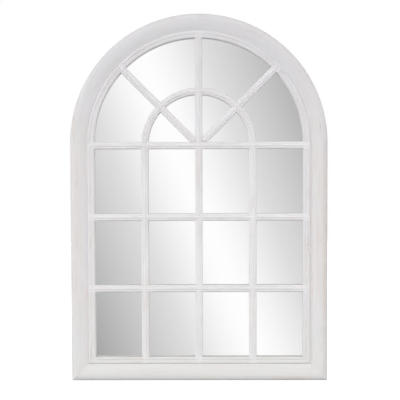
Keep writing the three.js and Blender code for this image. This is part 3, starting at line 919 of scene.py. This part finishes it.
# %% Node groups
def new_group(name, inputs, outputs=("Mask",)):
    """A node group with named inputs and outputs. Returns the tree and its two ends."""
    tree = bpy.data.node_groups.new(name, "ShaderNodeTree")
    tree.interface.new_socket("Vector", in_out="INPUT", socket_type="NodeSocketVector")
    for label, value in inputs.items():
        socket = tree.interface.new_socket(label, in_out="INPUT", socket_type="NodeSocketFloat")
        socket.default_value = value
    for label in outputs:
        tree.interface.new_socket(label, in_out="OUTPUT", socket_type="NodeSocketFloat")
    return tree, tree.nodes.new("NodeGroupInput").outputs, tree.nodes.new("NodeGroupOutput").inputs


def placed(tree, group, vector, **inputs):
    """The outputs of a group that is placed in a tree."""
    return wire(tree, "ShaderNodeGroup", {"Vector": vector, **inputs}, node_tree=group).outputs


def mask(tree, group, vector, **inputs):
    return placed(tree, group, vector, **inputs)["Mask"]


# %% [markdown]
# ## Shared effects
#
# *Board grain* reads the grain map: broad figure and fine fibres, both long and thin. *Brush marks*
# are the ridges that a wide brush leaves in thin paint. *Mottle* is a soft patchiness. *Rubbed edge*
# turns the ridges of the mesh into a ragged mask of wear, and the glaze group turns its shade lines
# into an uneven mask of painted shade, with the hairlines of the joints. *Specks* are small knots and
# grit, *scuffs* are fine crossing scratches, and *dust* lies on what faces up.

# %% Grain, brush marks and mottle
board_grain, given, result = new_group("board grain", {}, ("Figure", "Fibres"))
figure = cloudy(board_grain, stretched(board_grain, given["Vector"], (2.2, 75, 1)), 1, 3, 0.55, 0.8)
fibres = cloudy(board_grain, stretched(board_grain, given["Vector"], (22, 1500, 1)), 1, 2, 0.6)
board_grain.links.new(figure, result["Figure"])
board_grain.links.new(fibres, result["Fibres"])

brush_marks, given, result = new_group("brush marks", {}, ("Streaks", "Drag"))
streaks = cloudy(brush_marks, stretched(brush_marks, given["Vector"], (7, 420, 1)), 1, 4, 0.62, 0.2)
drag = cloudy(brush_marks, stretched(brush_marks, given["Vector"], (16, 150, 1)), 1, 2, 0.5, 0.4)
brush_marks.links.new(spread(brush_marks, streaks, 0.28, 0.72), result["Streaks"])
brush_marks.links.new(spread(brush_marks, drag, 0.3, 0.7), result["Drag"])

mottle, given, result = new_group("mottle", {"Scale": 20.0, "Share": 0.5, "Softness": 0.15})
patches = cloudy(mottle, given["Vector"], given["Scale"], 4, 0.6, 0.6)
edge = reckon(mottle, "SUBTRACT", 1.0, given["Share"])
low_edge = reckon(mottle, "SUBTRACT", edge, given["Softness"])
high_edge = reckon(mottle, "ADD", edge, given["Softness"])
mottle.links.new(spread(mottle, patches, low_edge, high_edge), result["Mask"])

# %% Rubbed edges, and painted shade with joint glaze
rubbed_edge, given, result = new_group("rubbed edge", {"Ridge": 0.0, "Wear": 0.5})
broad = cloudy(rubbed_edge, stretched(rubbed_edge, given["Vector"], (11, 30, 1)), 1, 2, 0.5)
ragged = cloudy(rubbed_edge, stretched(rubbed_edge, given["Vector"], (130, 700, 1)), 1, 5, 0.7)
reach = times(rubbed_edge, given["Ridge"], spread(rubbed_edge, broad, 0.45, 0.70))
reach = times(rubbed_edge, reach, given["Wear"])
reach = reckon(rubbed_edge, "ADD", reach, ragged)
rubbed_edge.links.new(spread(rubbed_edge, reach, 0.78, 1.12), result["Mask"])

# Painted shade low on the bars and the border, and dark hairlines in the joints.
shade_and_joint_glaze, given, result = new_group("shade_and_joint_glaze", {"Hollow": 0.0, "Amount": 0.5})
uneven = spread(shade_and_joint_glaze, cloudy(shade_and_joint_glaze, given["Vector"], 45, 4, 0.6), 0.25, 0.75, 0.35, 1.0)
darkening = times(shade_and_joint_glaze, reckon(shade_and_joint_glaze, "POWER", given["Hollow"], 1.3), uneven)
shade_and_joint_glaze.links.new(reckon(shade_and_joint_glaze, "MULTIPLY", darkening, given["Amount"], clamp=True), result["Mask"])

# %% Specks, scuffs and dust
specks, given, result = new_group("specks", {"Scale": 60.0, "Size": 0.1, "Share": 0.2})
cells = wire(specks, "ShaderNodeTexVoronoi", {"Vector": given["Vector"], "Scale": given["Scale"]})
chosen = reckon(specks, "LESS_THAN", cells.outputs["Color"], given["Share"])
inside = spread(specks, cells.outputs["Distance"], given["Size"], 0.0)
specks.links.new(times(specks, inside, chosen), result["Mask"])

SCUFF_WAYS = (17, 58, 101, 149)  # degrees
SCUFF_STRETCH = (1, 14, 14)

scuffs, given, result = new_group("scuffs", {"Scale": 60.0})
lines = []
for degrees in SCUFF_WAYS:
    aim = {"Vector": given["Vector"], "Rotation": (0.3, math.radians(degrees), 0.2),
           "Scale": SCUFF_STRETCH}
    aimed = wire(scuffs, "ShaderNodeMapping", aim).outputs[0]
    off_middle = reckon(scuffs, "SUBTRACT", cloudy(scuffs, aimed, given["Scale"], 2, 0.5), 0.5)
    lines.append(spread(scuffs, reckon(scuffs, "ABSOLUTE", off_middle), 0.012, 0.0))
strongest = lines[0]
for line in lines[1:]:
    strongest = reckon(scuffs, "MAXIMUM", strongest, line)
scuffs.links.new(strongest, result["Mask"])

dust, given, result = new_group("dust", {"Amount": 0.3})
facing = parted(dust, wire(dust, "ShaderNodeNewGeometry").outputs["Normal"])
settled = spread(dust, facing[2], 0.45, 0.95)
grains = spread(dust, cloudy(dust, given["Vector"], 260, 5, 0.7), 0.3, 0.7, 0.4, 1.0)
fall = times(dust, settled, grains)
dust.links.new(reckon(dust, "MULTIPLY", fall, given["Amount"], clamp=True), result["Mask"])
print("shared effects:", [group.name for group in bpy.data.node_groups])

# %% [markdown]
# ## Whitewashed wood
#
# The wood has a thin, slightly pink white paint. Where it lies thinner, it turns to a warm beige or
# a greenish grey, in soft patches some centimetres long. The foot is greyer, and the head is a
# little lavender and painted darker towards the top, as shade. Two places on the stiles are warm from
# handling, and five more on the stiles and the foot are rubbed. Brush marks follow the grain, and
# ridges are rubbed through to the wood in places. A grey is painted low on the sides of the bars and
# on the border's inner foot as shade, and into the joints as a hairline. The back is bare but for the
# overspray that reached round its edges. The bars are whiter than the frame and less worn.

# %% Colours of the paint and the wood
PAINT = (0.790, 0.776, 0.796, 1)
BAR_PAINT = (0.852, 0.842, 0.858, 1)
WARM_THIN = (0.792, 0.736, 0.712, 1)
GREY_THIN = (0.757, 0.757, 0.728, 1)
SHADED_LAVENDER = (0.690, 0.678, 0.712, 1)
BRIGHT = (0.840, 0.834, 0.840, 1)
WORN = (0.665, 0.585, 0.530, 1)
WOOD_LIGHT = (0.47, 0.35, 0.25, 1)
WOOD_DARK = (0.30, 0.205, 0.135, 1)
# Grey painted as shade at the feet of the bars and the border, and into the joints as hairlines.
SHADE_AND_JOINT_GREY = (0.40, 0.375, 0.375, 1)
DUST = (0.72, 0.70, 0.67, 1)

# Places on the front as (x, z, half width, half height).
HANDLED = [(-0.336, -0.17, 0.022, 0.27), (0.333, -0.20, 0.020, 0.25)]
RUBBED = [(0.3405, -0.43, 0.0026, 0.21), (0.25, BOTTOM_Z + 0.006, 0.06, 0.008),
          (-0.341, 0.12, 0.008, 0.08), (0.3065, -0.24, 0.0045, 0.37),
          (0.346, -0.22, 0.010, 0.42)]


# %% Opening and closing a material
def new_material(name):
    material = bpy.data.materials.new(name)
    material.use_nodes = True
    tree = material.node_tree
    return material, tree, tree.nodes["Principled BSDF"].inputs


def coloured(tree, sockets, colour, roughness):
    tree.links.new(colour, sockets["Base Color"])
    tree.links.new(roughness, sockets["Roughness"])


def bumped(tree, sockets, height, strength, distance):
    """Relief on a surface, from a height of 0 to 1."""
    inputs = {"Height": height, "Strength": strength, "Distance": distance}
    tree.links.new(wire(tree, "ShaderNodeBump", inputs).outputs[0], sockets["Normal"])


def patch_mask(tree, lie, patch):
    """A soft oval at one place, from 1 in its middle to 0 outside."""
    x, z, half_width, half_height = patch
    across = reckon(tree, "DIVIDE", reckon(tree, "SUBTRACT", lie[0], x), half_width)
    upright = reckon(tree, "DIVIDE", reckon(tree, "SUBTRACT", lie[2], z), half_height)
    square = reckon(tree, "MULTIPLY_ADD", upright, upright, times(tree, across, across))
    return spread(tree, square, 1.3, 0.2)


# %% The coats of paint, from the wood outwards
def clean_paint(tree, place, lie, grain_map, paint, patchiness):
    """The paint with its tints by place and painted shade at the head, before brush marks and wear."""
    long_patches = stretched(tree, grain_map, (9, 34, 1))
    short_patches = stretched(tree, place, (1.0, 1.0, 0.6))
    warm = mask(tree, mottle, long_patches, Scale=1.0, Share=0.46, Softness=0.11)
    grey = mask(tree, mottle, short_patches, Scale=15.0, Share=0.45, Softness=0.10)
    colour = coat(tree, paint, warm, patchiness, WARM_THIN)
    colour = coat(tree, colour, grey, patchiness * 0.8, GREY_THIN)
    foot = spread(tree, lie[2], BOTTOM_Z + 0.22, BOTTOM_Z + 0.05, 0, patchiness * 0.8)
    colour = mixed(tree, foot, colour, GREY_THIN)
    for patch in HANDLED:
        colour = coat(tree, colour, patch_mask(tree, lie, patch), 0.6, WARM_THIN)
    # Painted shade with a lavender tint: the head turns darker towards the top.
    head = spread(tree, lie[2], SPRING_Z - 0.08, SPRING_Z + 0.25, 0, patchiness * 0.7)
    return mixed(tree, head, colour, SHADED_LAVENDER)


def worn_paint(tree, lie, grain_map, colour, rubbed, wood):
    """Paint that is rubbed on its ridges and places, down to the wood on the sharpest ones."""
    colour = coat(tree, colour, rubbed, 0.75, WORN)
    torn = spread(tree, cloudy(tree, stretched(tree, grain_map, (40, 520, 1)), 1, 4, 0.65), 0.38, 0.62)
    for patch in RUBBED:
        ragged = times(tree, patch_mask(tree, lie, patch), torn)
        colour = coat(tree, colour, ragged, 0.6, WORN)
    return mixed(tree, spread(tree, rubbed, 0.72, 1.0, 0, 0.55), colour, wood)


def bare_backed(tree, place, lie, colour, wood, streaks):
    """Bare wood behind, where the overspray fades over the first millimetres of the back."""
    ragged = times(tree, cloudy(tree, place, 180, 4, 0.65), 2.4 * MM)
    depth = reckon(tree, "SUBTRACT", lie[1], ragged)
    bare = spread(tree, depth, BACK_Y - 3.4 * MM, BACK_Y - 1.2 * MM)
    thin_coat = spread(tree, cloudy(tree, place, 16, 5, 0.65), 0.35, 0.75, 0.35, 0.8)
    return mixed(tree, bare, colour, coat(tree, wood, thin_coat, streaks, PAINT))


# %% Whitewash
def whitewashed(name, paint, wear, hollow_glaze, patchiness):
    material, tree, sockets = new_material(name)
    grain_map = wire(tree, "ShaderNodeUVMap", uv_map="grain").outputs[0]
    wear_and_shade = parted(tree, wire(tree, "ShaderNodeUVMap", uv_map="wear_and_shade").outputs[0])
    place = own_place(tree)
    lie = parted(tree, place)
    grain = placed(tree, board_grain, grain_map)
    brush = placed(tree, brush_marks, grain_map)
    rubbed = mask(tree, rubbed_edge, grain_map, Ridge=wear_and_shade[0], Wear=wear)
    # Painted shade low on the bars' sides and the border's foot, with dark hairlines in the joints.
    darkened = mask(tree, shade_and_joint_glaze, place, Hollow=wear_and_shade[1], Amount=hollow_glaze)
    speck = mask(tree, specks, place, Scale=42.0, Size=0.045, Share=0.16)
    dusty = mask(tree, dust, place, Amount=0.35)

    wood = mixed(tree, grain["Figure"], WOOD_DARK, WOOD_LIGHT)
    wood = coat(tree, wood, grain["Fibres"], 0.5, WOOD_DARK)
    colour = clean_paint(tree, place, lie, grain_map, paint, patchiness)
    colour = coat(tree, colour, brush["Streaks"], 0.32, BRIGHT)
    thin = times(tree, spread(tree, grain["Figure"], 0.62, 0.36), brush["Drag"])
    colour = coat(tree, colour, thin, 0.08, wood)
    colour = worn_paint(tree, lie, grain_map, colour, rubbed, wood)
    colour = mixed(tree, darkened, colour, SHADE_AND_JOINT_GREY)
    colour = coat(tree, colour, speck, 0.55, WOOD_DARK)
    colour = bare_backed(tree, place, lie, colour, wood, brush["Streaks"])
    colour = mixed(tree, dusty, colour, DUST)

    rough = spread(tree, brush["Drag"], 0.0, 1.0, 0.50, 0.62)
    rough = reckon(tree, "ADD", rough, times(tree, rubbed, 0.14))
    rough = reckon(tree, "ADD", rough, times(tree, dusty, 0.2))
    coloured(tree, sockets, colour, rough)

    relief = times(tree, brush["Streaks"], 0.45)
    relief = reckon(tree, "MULTIPLY_ADD", grain["Fibres"], 0.25, relief)
    relief = reckon(tree, "MULTIPLY_ADD", grain["Figure"], 0.4, relief)
    relief = reckon(tree, "SUBTRACT", relief, times(tree, rubbed, 0.4))
    relief = reckon(tree, "SUBTRACT", relief, times(tree, speck, 0.5))
    bumped(tree, sockets, relief, 0.5, 0.06 * MM)
    return material


frame_paint = whitewashed("whitewashed frame", PAINT, wear=0.55, hollow_glaze=0.3, patchiness=0.7)
bar_paint = whitewashed("whitewashed bars", BAR_PAINT, wear=0.27, hollow_glaze=0.7, patchiness=0.45)
print("finishes:", frame_paint.name, "and", bar_paint.name)

# %% [markdown]
# ## Silvered glass
#
# A mirror shows its silvering, not its glass: an almost perfect metal surface. It is not quite even.
# Wiping leaves faint streaks that blur the reflection a little, and the silver is a trace darker
# in soft clouds. Both are far too weak to see head on, and show at a slant.

# %% Silvered glass
SILVER = (0.957, 0.957, 0.958, 1)
SILVER_EDGE = (0.905, 0.912, 0.910, 1)

silvered_glass, tree, sockets = new_material("silvered glass")
place = own_place(tree)
clouded = mask(tree, mottle, place, Scale=5.0, Share=0.4, Softness=0.2)
silver = coat(tree, SILVER, clouded, 0.12, SILVER_EDGE)
wiped = cloudy(tree, stretched(tree, place, (5, 1, 22)), 1, 4, 0.6, 1.2)
haze = spread(tree, wiped, 0.3, 0.8, 0.004, 0.016)
smear = mask(tree, scuffs, place, Scale=3.0)
coloured(tree, sockets, silver, reckon(tree, "MULTIPLY_ADD", smear, 0.006, haze))
sockets["Metallic"].default_value = 1.0

# %% [markdown]
# ## Card, hardboard and bare wood
#
# Card is a grey-brown felt of short fibres. Hardboard is pressed wet against a wire screen, so its
# rough side keeps the print of a fine mesh, over a dark brown pulp with paler chips. The splines are
# beech, pale with short dark flecks.

# %% Cushion card
CARD_DARK = (0.34, 0.245, 0.14, 1)
CARD_PALE = (0.50, 0.385, 0.24, 1)
CARD_CLUMP = (0.42, 0.33, 0.22, 1)

cushion_card, tree, sockets = new_material("cushion card")
place = own_place(tree)
felt = cloudy(tree, place, 700, 4, 0.7)
card = mixed(tree, felt, CARD_DARK, CARD_PALE)
card = coat(tree, card, cloudy(tree, place, 90, 3, 0.6), 0.5, CARD_CLUMP)
coloured(tree, sockets, card, spread(tree, felt, 0, 1, 0.82, 0.95))
bumped(tree, sockets, felt, 0.6, 0.1 * MM)

# %% Hardboard
PULP_DARK = (0.105, 0.052, 0.026, 1)
PULP_PALE = (0.235, 0.130, 0.070, 1)
CHIP = (0.34, 0.21, 0.12, 1)
DAMP = (0.12, 0.062, 0.034, 1)
SCREEN_PRINT = (0.27, 0.165, 0.10, 1)
SCRATCH = (0.36, 0.25, 0.16, 1)

hardboard, tree, sockets = new_material("screen-side hardboard")
place = own_place(tree)
pulp = cloudy(tree, place, 520, 5, 0.7)
chips = mask(tree, specks, stretched(tree, place, (1, 1, 2.2)), Scale=260.0, Size=0.32, Share=0.3)
darkened = mask(tree, mottle, place, Scale=7.0, Share=0.5, Softness=0.2)
wires = {"Vector": place, "Scale": 95.0, "Distortion": 0.6, "Detail Scale": 3.0}
warp, weft = (wire(tree, "ShaderNodeTexWave", wires, bands_direction=way).outputs["Fac"]
              for way in ("X", "Z"))
mesh_print = times(tree, warp, weft)
brown = mixed(tree, pulp, PULP_DARK, PULP_PALE)
brown = coat(tree, brown, chips, 0.55, CHIP)
brown = coat(tree, brown, darkened, 0.22, DAMP)
brown = coat(tree, brown, mesh_print, 0.22, SCREEN_PRINT)
brown = coat(tree, brown, mask(tree, scuffs, place, Scale=5.0), 0.10, SCRATCH)
coloured(tree, sockets, brown, spread(tree, pulp, 0, 1, 0.62, 0.88))
bumped(tree, sockets, reckon(tree, "MULTIPLY_ADD", pulp, 0.5, mesh_print), 0.7, 0.15 * MM)

# %% Beech
BEECH_DARK = (0.52, 0.37, 0.22, 1)
BEECH_PALE = (0.68, 0.51, 0.33, 1)
BEECH_FLECK = (0.33, 0.2, 0.11, 1)

beech, tree, sockets = new_material("beech spline")
place = own_place(tree)
lie = parted(tree, place)
turned_place = wire(tree, "ShaderNodeCombineXYZ", {0: lie[2], 1: lie[0]}).outputs[0]
grain = placed(tree, board_grain, turned_place)
flecks = mask(tree, specks, stretched(tree, place, (3, 1, 1)), Scale=500.0, Size=0.3, Share=0.5)
pale = mixed(tree, grain["Figure"], BEECH_DARK, BEECH_PALE)
pale = coat(tree, pale, flecks, 0.5, BEECH_FLECK)
coloured(tree, sockets, pale, spread(tree, grain["Fibres"], 0, 1, 0.55, 0.75))
bumped(tree, sockets, grain["Fibres"], 0.4, 0.08 * MM)

# %% [markdown]
# ## Zinc-plated steel and rubber
#
# Zinc plate is a bluish, slightly cloudy grey that dulls where it is handled, with fine scratches
# from the screwdriver and the hook. Rubber is nearly black and dull, with a chalky bloom and dust.

# %% Zinc plate
ZINC_DARK = (0.43, 0.445, 0.47, 1)
ZINC_PALE = (0.63, 0.64, 0.655, 1)
ZINC_SPANGLE = (0.70, 0.71, 0.72, 1)
ZINC_BRIGHT = (0.78, 0.78, 0.78, 1)

zinc_plate, tree, sockets = new_material("zinc plate")
place = own_place(tree)
clouds = cloudy(tree, place, 320, 4, 0.6)
spangle = wire(tree, "ShaderNodeTexVoronoi", {"Vector": place, "Scale": 900.0}).outputs["Color"]
scratch = mask(tree, scuffs, place, Scale=90.0)
metal = mixed(tree, clouds, ZINC_DARK, ZINC_PALE)
metal = coat(tree, metal, spangle, 0.12, ZINC_SPANGLE)
metal = coat(tree, metal, scratch, 0.35, ZINC_BRIGHT)
dull = spread(tree, clouds, 0.25, 0.75, 0.42, 0.26)
coloured(tree, sockets, metal, reckon(tree, "MULTIPLY_ADD", scratch, -0.08, dull))
sockets["Metallic"].default_value = 1.0
bumped(tree, sockets, reckon(tree, "MULTIPLY_ADD", scratch, -0.6, clouds), 0.25, 0.05 * MM)

# %% Rubber
RUBBER_DARK = (0.045, 0.042, 0.040, 1)
RUBBER_PALE = (0.078, 0.074, 0.070, 1)
RUBBER_BLOOM = (0.13, 0.125, 0.12, 1)
LINT = (0.4, 0.38, 0.36, 1)

bumper_rubber, tree, sockets = new_material("bumper rubber")
place = own_place(tree)
pores = cloudy(tree, place, 1600, 3, 0.7)
bloom = mask(tree, mottle, place, Scale=160.0, Share=0.45, Softness=0.2)
black = mixed(tree, pores, RUBBER_DARK, RUBBER_PALE)
black = coat(tree, black, bloom, 0.3, RUBBER_BLOOM)
black = mixed(tree, mask(tree, dust, place, Amount=0.5), black, LINT)
coloured(tree, sockets, black, spread(tree, bloom, 0, 1, 0.68, 0.86))
bumped(tree, sockets, pores, 0.5, 0.06 * MM)
print("materials:", [material.name for material in bpy.data.materials])

# %% [markdown]
# ## Dressing the pieces
#
# Every new piece takes its finish, is shaded smooth except over real edges, rides on the body that
# its construction piece rides on, and stands for that piece. The splines and the card are already
# right as they are, so they only take a finish.

# %% Dress the pieces
SHARP = math.radians(34)


def dressed(piece, material, slot, body, *nodes):
    piece.data.materials.clear()
    piece.data.materials.append(material)
    piece.data.shade_smooth()
    piece.data.set_sharp_from_angle(angle=SHARP)
    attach(piece, body)
    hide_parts(*nodes)


for kind, boards in (("frame", frame_boards), ("border", border_boards)):
    for name, piece in boards.items():
        dressed(piece, frame_paint, "painted_wood", "mirror", f"{kind}_{name}")
for name, piece in bars.items():
    dressed(piece, bar_paint, "painted_wood", "mirror", name)
dressed(glass, silvered_glass, "mirror", "mirror", "mirror_glass")
dressed(board, hardboard, "hardboard", "mirror", "back_board")
screw_nodes = [*board_screw_nodes, *strap_screw_nodes]
for piece, node in zip([*board_screws, *strap_screws], screw_nodes):
    dressed(piece, zinc_plate, "zinc_steel", "mirror", node)
for side in HANGERS:
    dressed(straps[side], zinc_plate, "zinc_steel", "mirror", f"hanger_strap_{side}")
    dressed(rings[side], zinc_plate, "zinc_steel", f"ring_{side}", f"hanger_ring_{side}")
    dressed(bumpers[side], bumper_rubber, "rubber", "mirror", f"wall_bumper_{side}")

KEPT = {"cushion_sheet": (cushion_card, "cardboard")}
for name in frame["nodes"]:
    if "_spline" in name:
        KEPT[name] = (beech, "bare_wood")
for name, (material, slot) in KEPT.items():
    node = frame["nodes"][name]
    node.data.materials.clear()
    node.data.materials.append(material)
print(len(KEPT), "construction pieces keep their own mesh")

# %% [markdown]
# ## Floor and studio
#
# The mirror hangs at eye height in a white studio, over a pale floor. The floor takes the mirror's
# shadow, and lifts itself to white for the eye and for reflections. Round the mirror it lifts itself
# less, which paints a faint grey shade there. It is open from below, so a look from underneath still
# finds the mirror. The light comes as from big softboxes far away: one in front, one on each side,
# and one that keeps the back from going dark. A low reflector in front lifts the parts that face
# down, as a white table does.

# %% Floor
FLOOR_Z = -1.5
NEAR_LIFT = 0.80  # round the mirror, where its shadow falls; lower, which paints the floor there a faint grey shade
FAR_LIFT = 1.0

FLOOR_HALF = 15
SHADOW_REACH = 1.6  # where the lift starts to grow, and where it is full
WHITE_REACH = 3.4
FLOOR_GREY = (0.2, 0.2, 0.2, 1)

mesh = bmesh.new()
bmesh.ops.create_grid(mesh, x_segments=1, y_segments=1, size=FLOOR_HALF)
bmesh.ops.translate(mesh, vec=(0, 0, FLOOR_Z), verts=mesh.verts)
floor = shown("floor", mesh)


def lit_material(name):
    """A material that is built from its output backwards."""
    material = bpy.data.materials.new(name)
    material.use_nodes = True
    tree = material.node_tree
    tree.nodes.remove(tree.nodes["Principled BSDF"])
    return material, tree, tree.nodes["Material Output"].inputs["Surface"]


def seen(tree):
    """1 for the eye and for what it sees in or through something, 0 for light on other things."""
    rays = wire(tree, "ShaderNodeLightPath").outputs
    direct = reckon(tree, "MAXIMUM", rays["Is Camera Ray"], rays["Is Glossy Ray"])
    return reckon(tree, "MAXIMUM", direct, rays["Is Transmission Ray"])


pale_floor, tree, surface = lit_material("pale floor")
level = stretched(tree, own_place(tree), (1, 1, 0))
range_out = wire(tree, "ShaderNodeVectorMath", {0: level}, operation="LENGTH").outputs["Value"]
raised = spread(tree, range_out, SHADOW_REACH, WHITE_REACH, NEAR_LIFT, FAR_LIFT)
plain = wire(tree, "ShaderNodeBsdfDiffuse", {"Color": FLOOR_GREY}).outputs[0]
lift = wire(tree, "ShaderNodeEmission", {"Strength": times(tree, seen(tree), raised)}).outputs[0]
lit = wire(tree, "ShaderNodeAddShader", {0: plain, 1: lift}).outputs[0]
under = wire(tree, "ShaderNodeNewGeometry").outputs["Backfacing"]
nothing = wire(tree, "ShaderNodeBsdfTransparent").outputs[0]
open_below = wire(tree, "ShaderNodeMixShader", {0: under, 1: lit, 2: nothing}).outputs[0]
tree.links.new(open_below, surface)
floor.data.materials.append(pale_floor)

# %% Lights and room
def soft_light(name, azimuth, elevation, spread_angle, strength):
    """Even light from one side, as from a big softbox far off. Azimuth 0 is in front."""
    turn, rise = math.radians(azimuth), math.radians(elevation)
    way = Vector((math.sin(turn) * math.cos(rise), -math.cos(turn) * math.cos(rise), math.sin(rise)))
    light = bpy.data.lights.new(name, "SUN")
    light.angle = math.radians(spread_angle)
    light.energy = strength
    lamp = bpy.data.objects.new(name, light)
    lamp.rotation_mode = "QUATERNION"
    lamp.rotation_quaternion = way.to_track_quat("Z", "Y")
    lamp.visible_glossy = False
    bpy.context.scene.collection.objects.link(lamp)


# Name, azimuth, elevation and apparent size in degrees, and strength.
SOFT_LIGHTS = [
    ("front light", -12, 22, 50, 1.30),
    ("left light", -68, 7, 60, 1.84),
    ("right light", 68, 7, 60, 1.72),
    ("back light", 165, 25, 60, 1.9),
]
for soft in SOFT_LIGHTS:
    soft_light(*soft)

# %% Low reflector and room
REFLECTOR_SIZE = (1.6, 0.6)
REFLECTOR_PLACE = (0, -2.2, -1.3)
REFLECTOR_TILT = math.radians(64)
REFLECTOR_POWER = 10.0
AMBIENT = (0.14, 0.14, 0.145, 1)
WHITE = (1, 1, 1, 1)

reflector = bpy.data.lights.new("low reflector", "AREA")
reflector.shape = "RECTANGLE"
reflector.size, reflector.size_y = REFLECTOR_SIZE
reflector.energy = REFLECTOR_POWER
lamp = bpy.data.objects.new("low reflector", reflector)
lamp.matrix_world = Matrix.Translation(REFLECTOR_PLACE) @ Matrix.Rotation(REFLECTOR_TILT, 4, "X")
lamp.visible_camera = False
lamp.visible_glossy = False
bpy.context.scene.collection.objects.link(lamp)

room = bpy.data.worlds.new("white studio")
bpy.context.scene.world = room
room.use_nodes = True
tree = room.node_tree
tree.nodes.clear()
sky = mixed(tree, seen(tree), AMBIENT, WHITE)
sky = wire(tree, "ShaderNodeBackground", {"Color": sky, "Strength": 1.0}).outputs[0]
tree.links.new(sky, wire(tree, "ShaderNodeOutputWorld").inputs["Surface"])

# %% [markdown]
# ## What the mirror sees
#
# A mirror in a white room would be plain white, and a photographer puts a graded card in front of it
# to make it read as glass. This card has one bright band that leans to the left, and falls off
# evenly to a mid grey on both sides. The band is placed on the mirror, and the card repeats it
# enlarged, because the eye sees the card by way of the mirror. The card shows in reflections only.

# %% Camera
EYE = Vector((0.0384, -3.0, 0.0187))
PITCH, YAW, ROLL = math.radians(2.67), math.radians(0.681), math.radians(-0.184)
FOCAL_LENGTH = 98.27

lens = bpy.data.cameras.new("camera")
lens.sensor_width = 36
lens.lens = FOCAL_LENGTH
camera = bpy.data.objects.new("camera", lens)
aim = Matrix.Rotation(YAW, 4, "Z") @ Matrix.Rotation(math.pi / 2 - PITCH, 4, "X")
camera.matrix_world = Matrix.Translation(EYE) @ aim @ Matrix.Rotation(ROLL, 4, "Z")
bpy.context.scene.collection.objects.link(camera)
bpy.context.scene.camera = camera

# %% Graded card
CARD_GAP = 1.9  # in front of the mirror
BAND_LEAN = math.radians(21.5)
BAND_PLACE = -0.050  # on the mirror, from the middle of the rings, square to the band
BAND_HALF = 0.055  # over which the band is soft
CARD_HALF = (4.5, 2.3, 1)
CARD_Z = 0.85
GLASS_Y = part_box("mirror_glass")[0].y
# Along the card: how far from the band on the mirror, in metres, and how bright.
GRADES = [(0.0, 1.03), (0.12, 0.765), (0.36, 0.40), (0.60, 0.52), (1.0, 1.0)]

mesh = bmesh.new()
bmesh.ops.create_grid(mesh, x_segments=1, y_segments=1, size=1)
bmesh.ops.scale(mesh, vec=CARD_HALF, verts=mesh.verts)
bmesh.ops.rotate(mesh, matrix=Matrix.Rotation(math.pi / 2, 3, "X"), verts=mesh.verts)
bmesh.ops.translate(mesh, vec=(0, GLASS_Y - CARD_GAP, CARD_Z), verts=mesh.verts)
card_piece = shown("graded card", mesh)
for ray in ("visible_camera", "visible_diffuse", "visible_shadow", "visible_transmission"):
    setattr(card_piece, ray, False)

eye_gap = GLASS_Y - EYE.y
enlarged = (eye_gap + CARD_GAP) / eye_gap
eye_along = EYE.x * math.cos(BAND_LEAN) + EYE.z * math.sin(BAND_LEAN)
band = eye_along + (BAND_PLACE - eye_along) * enlarged

graded_card, tree, surface = lit_material("graded card")
lean = {0: own_place(tree), 1: (math.cos(BAND_LEAN), 0, math.sin(BAND_LEAN))}
along = wire(tree, "ShaderNodeVectorMath", lean, operation="DOT_PRODUCT").outputs["Value"]
off = reckon(tree, "DIVIDE", reckon(tree, "SUBTRACT", along, band), enlarged)
square = reckon(tree, "MULTIPLY_ADD", off, off, BAND_HALF * BAND_HALF)
away = reckon(tree, "SUBTRACT", reckon(tree, "SQRT", square), BAND_HALF)
grades = wire(tree, "ShaderNodeValToRGB", {0: away})
ramp = grades.color_ramp
while len(ramp.elements) < len(GRADES):
    ramp.elements.new(0.5)
for stop, (where, grey) in zip(ramp.elements, GRADES):
    stop.position = where
    stop.color = (grey, grey, grey, 1)
glow = wire(tree, "ShaderNodeEmission", {"Color": grades.outputs[0], "Strength": 1.0}).outputs[0]
tree.links.new(glow, surface)
card_piece.data.materials.append(graded_card)
print(f"the card shows the band {enlarged:.2f} times as wide")

# %% [markdown]
# ## Finish
#
# The colours are shown as they are, without a film look.

# %% Finish
bpy.context.scene.view_settings.view_transform = "Standard"
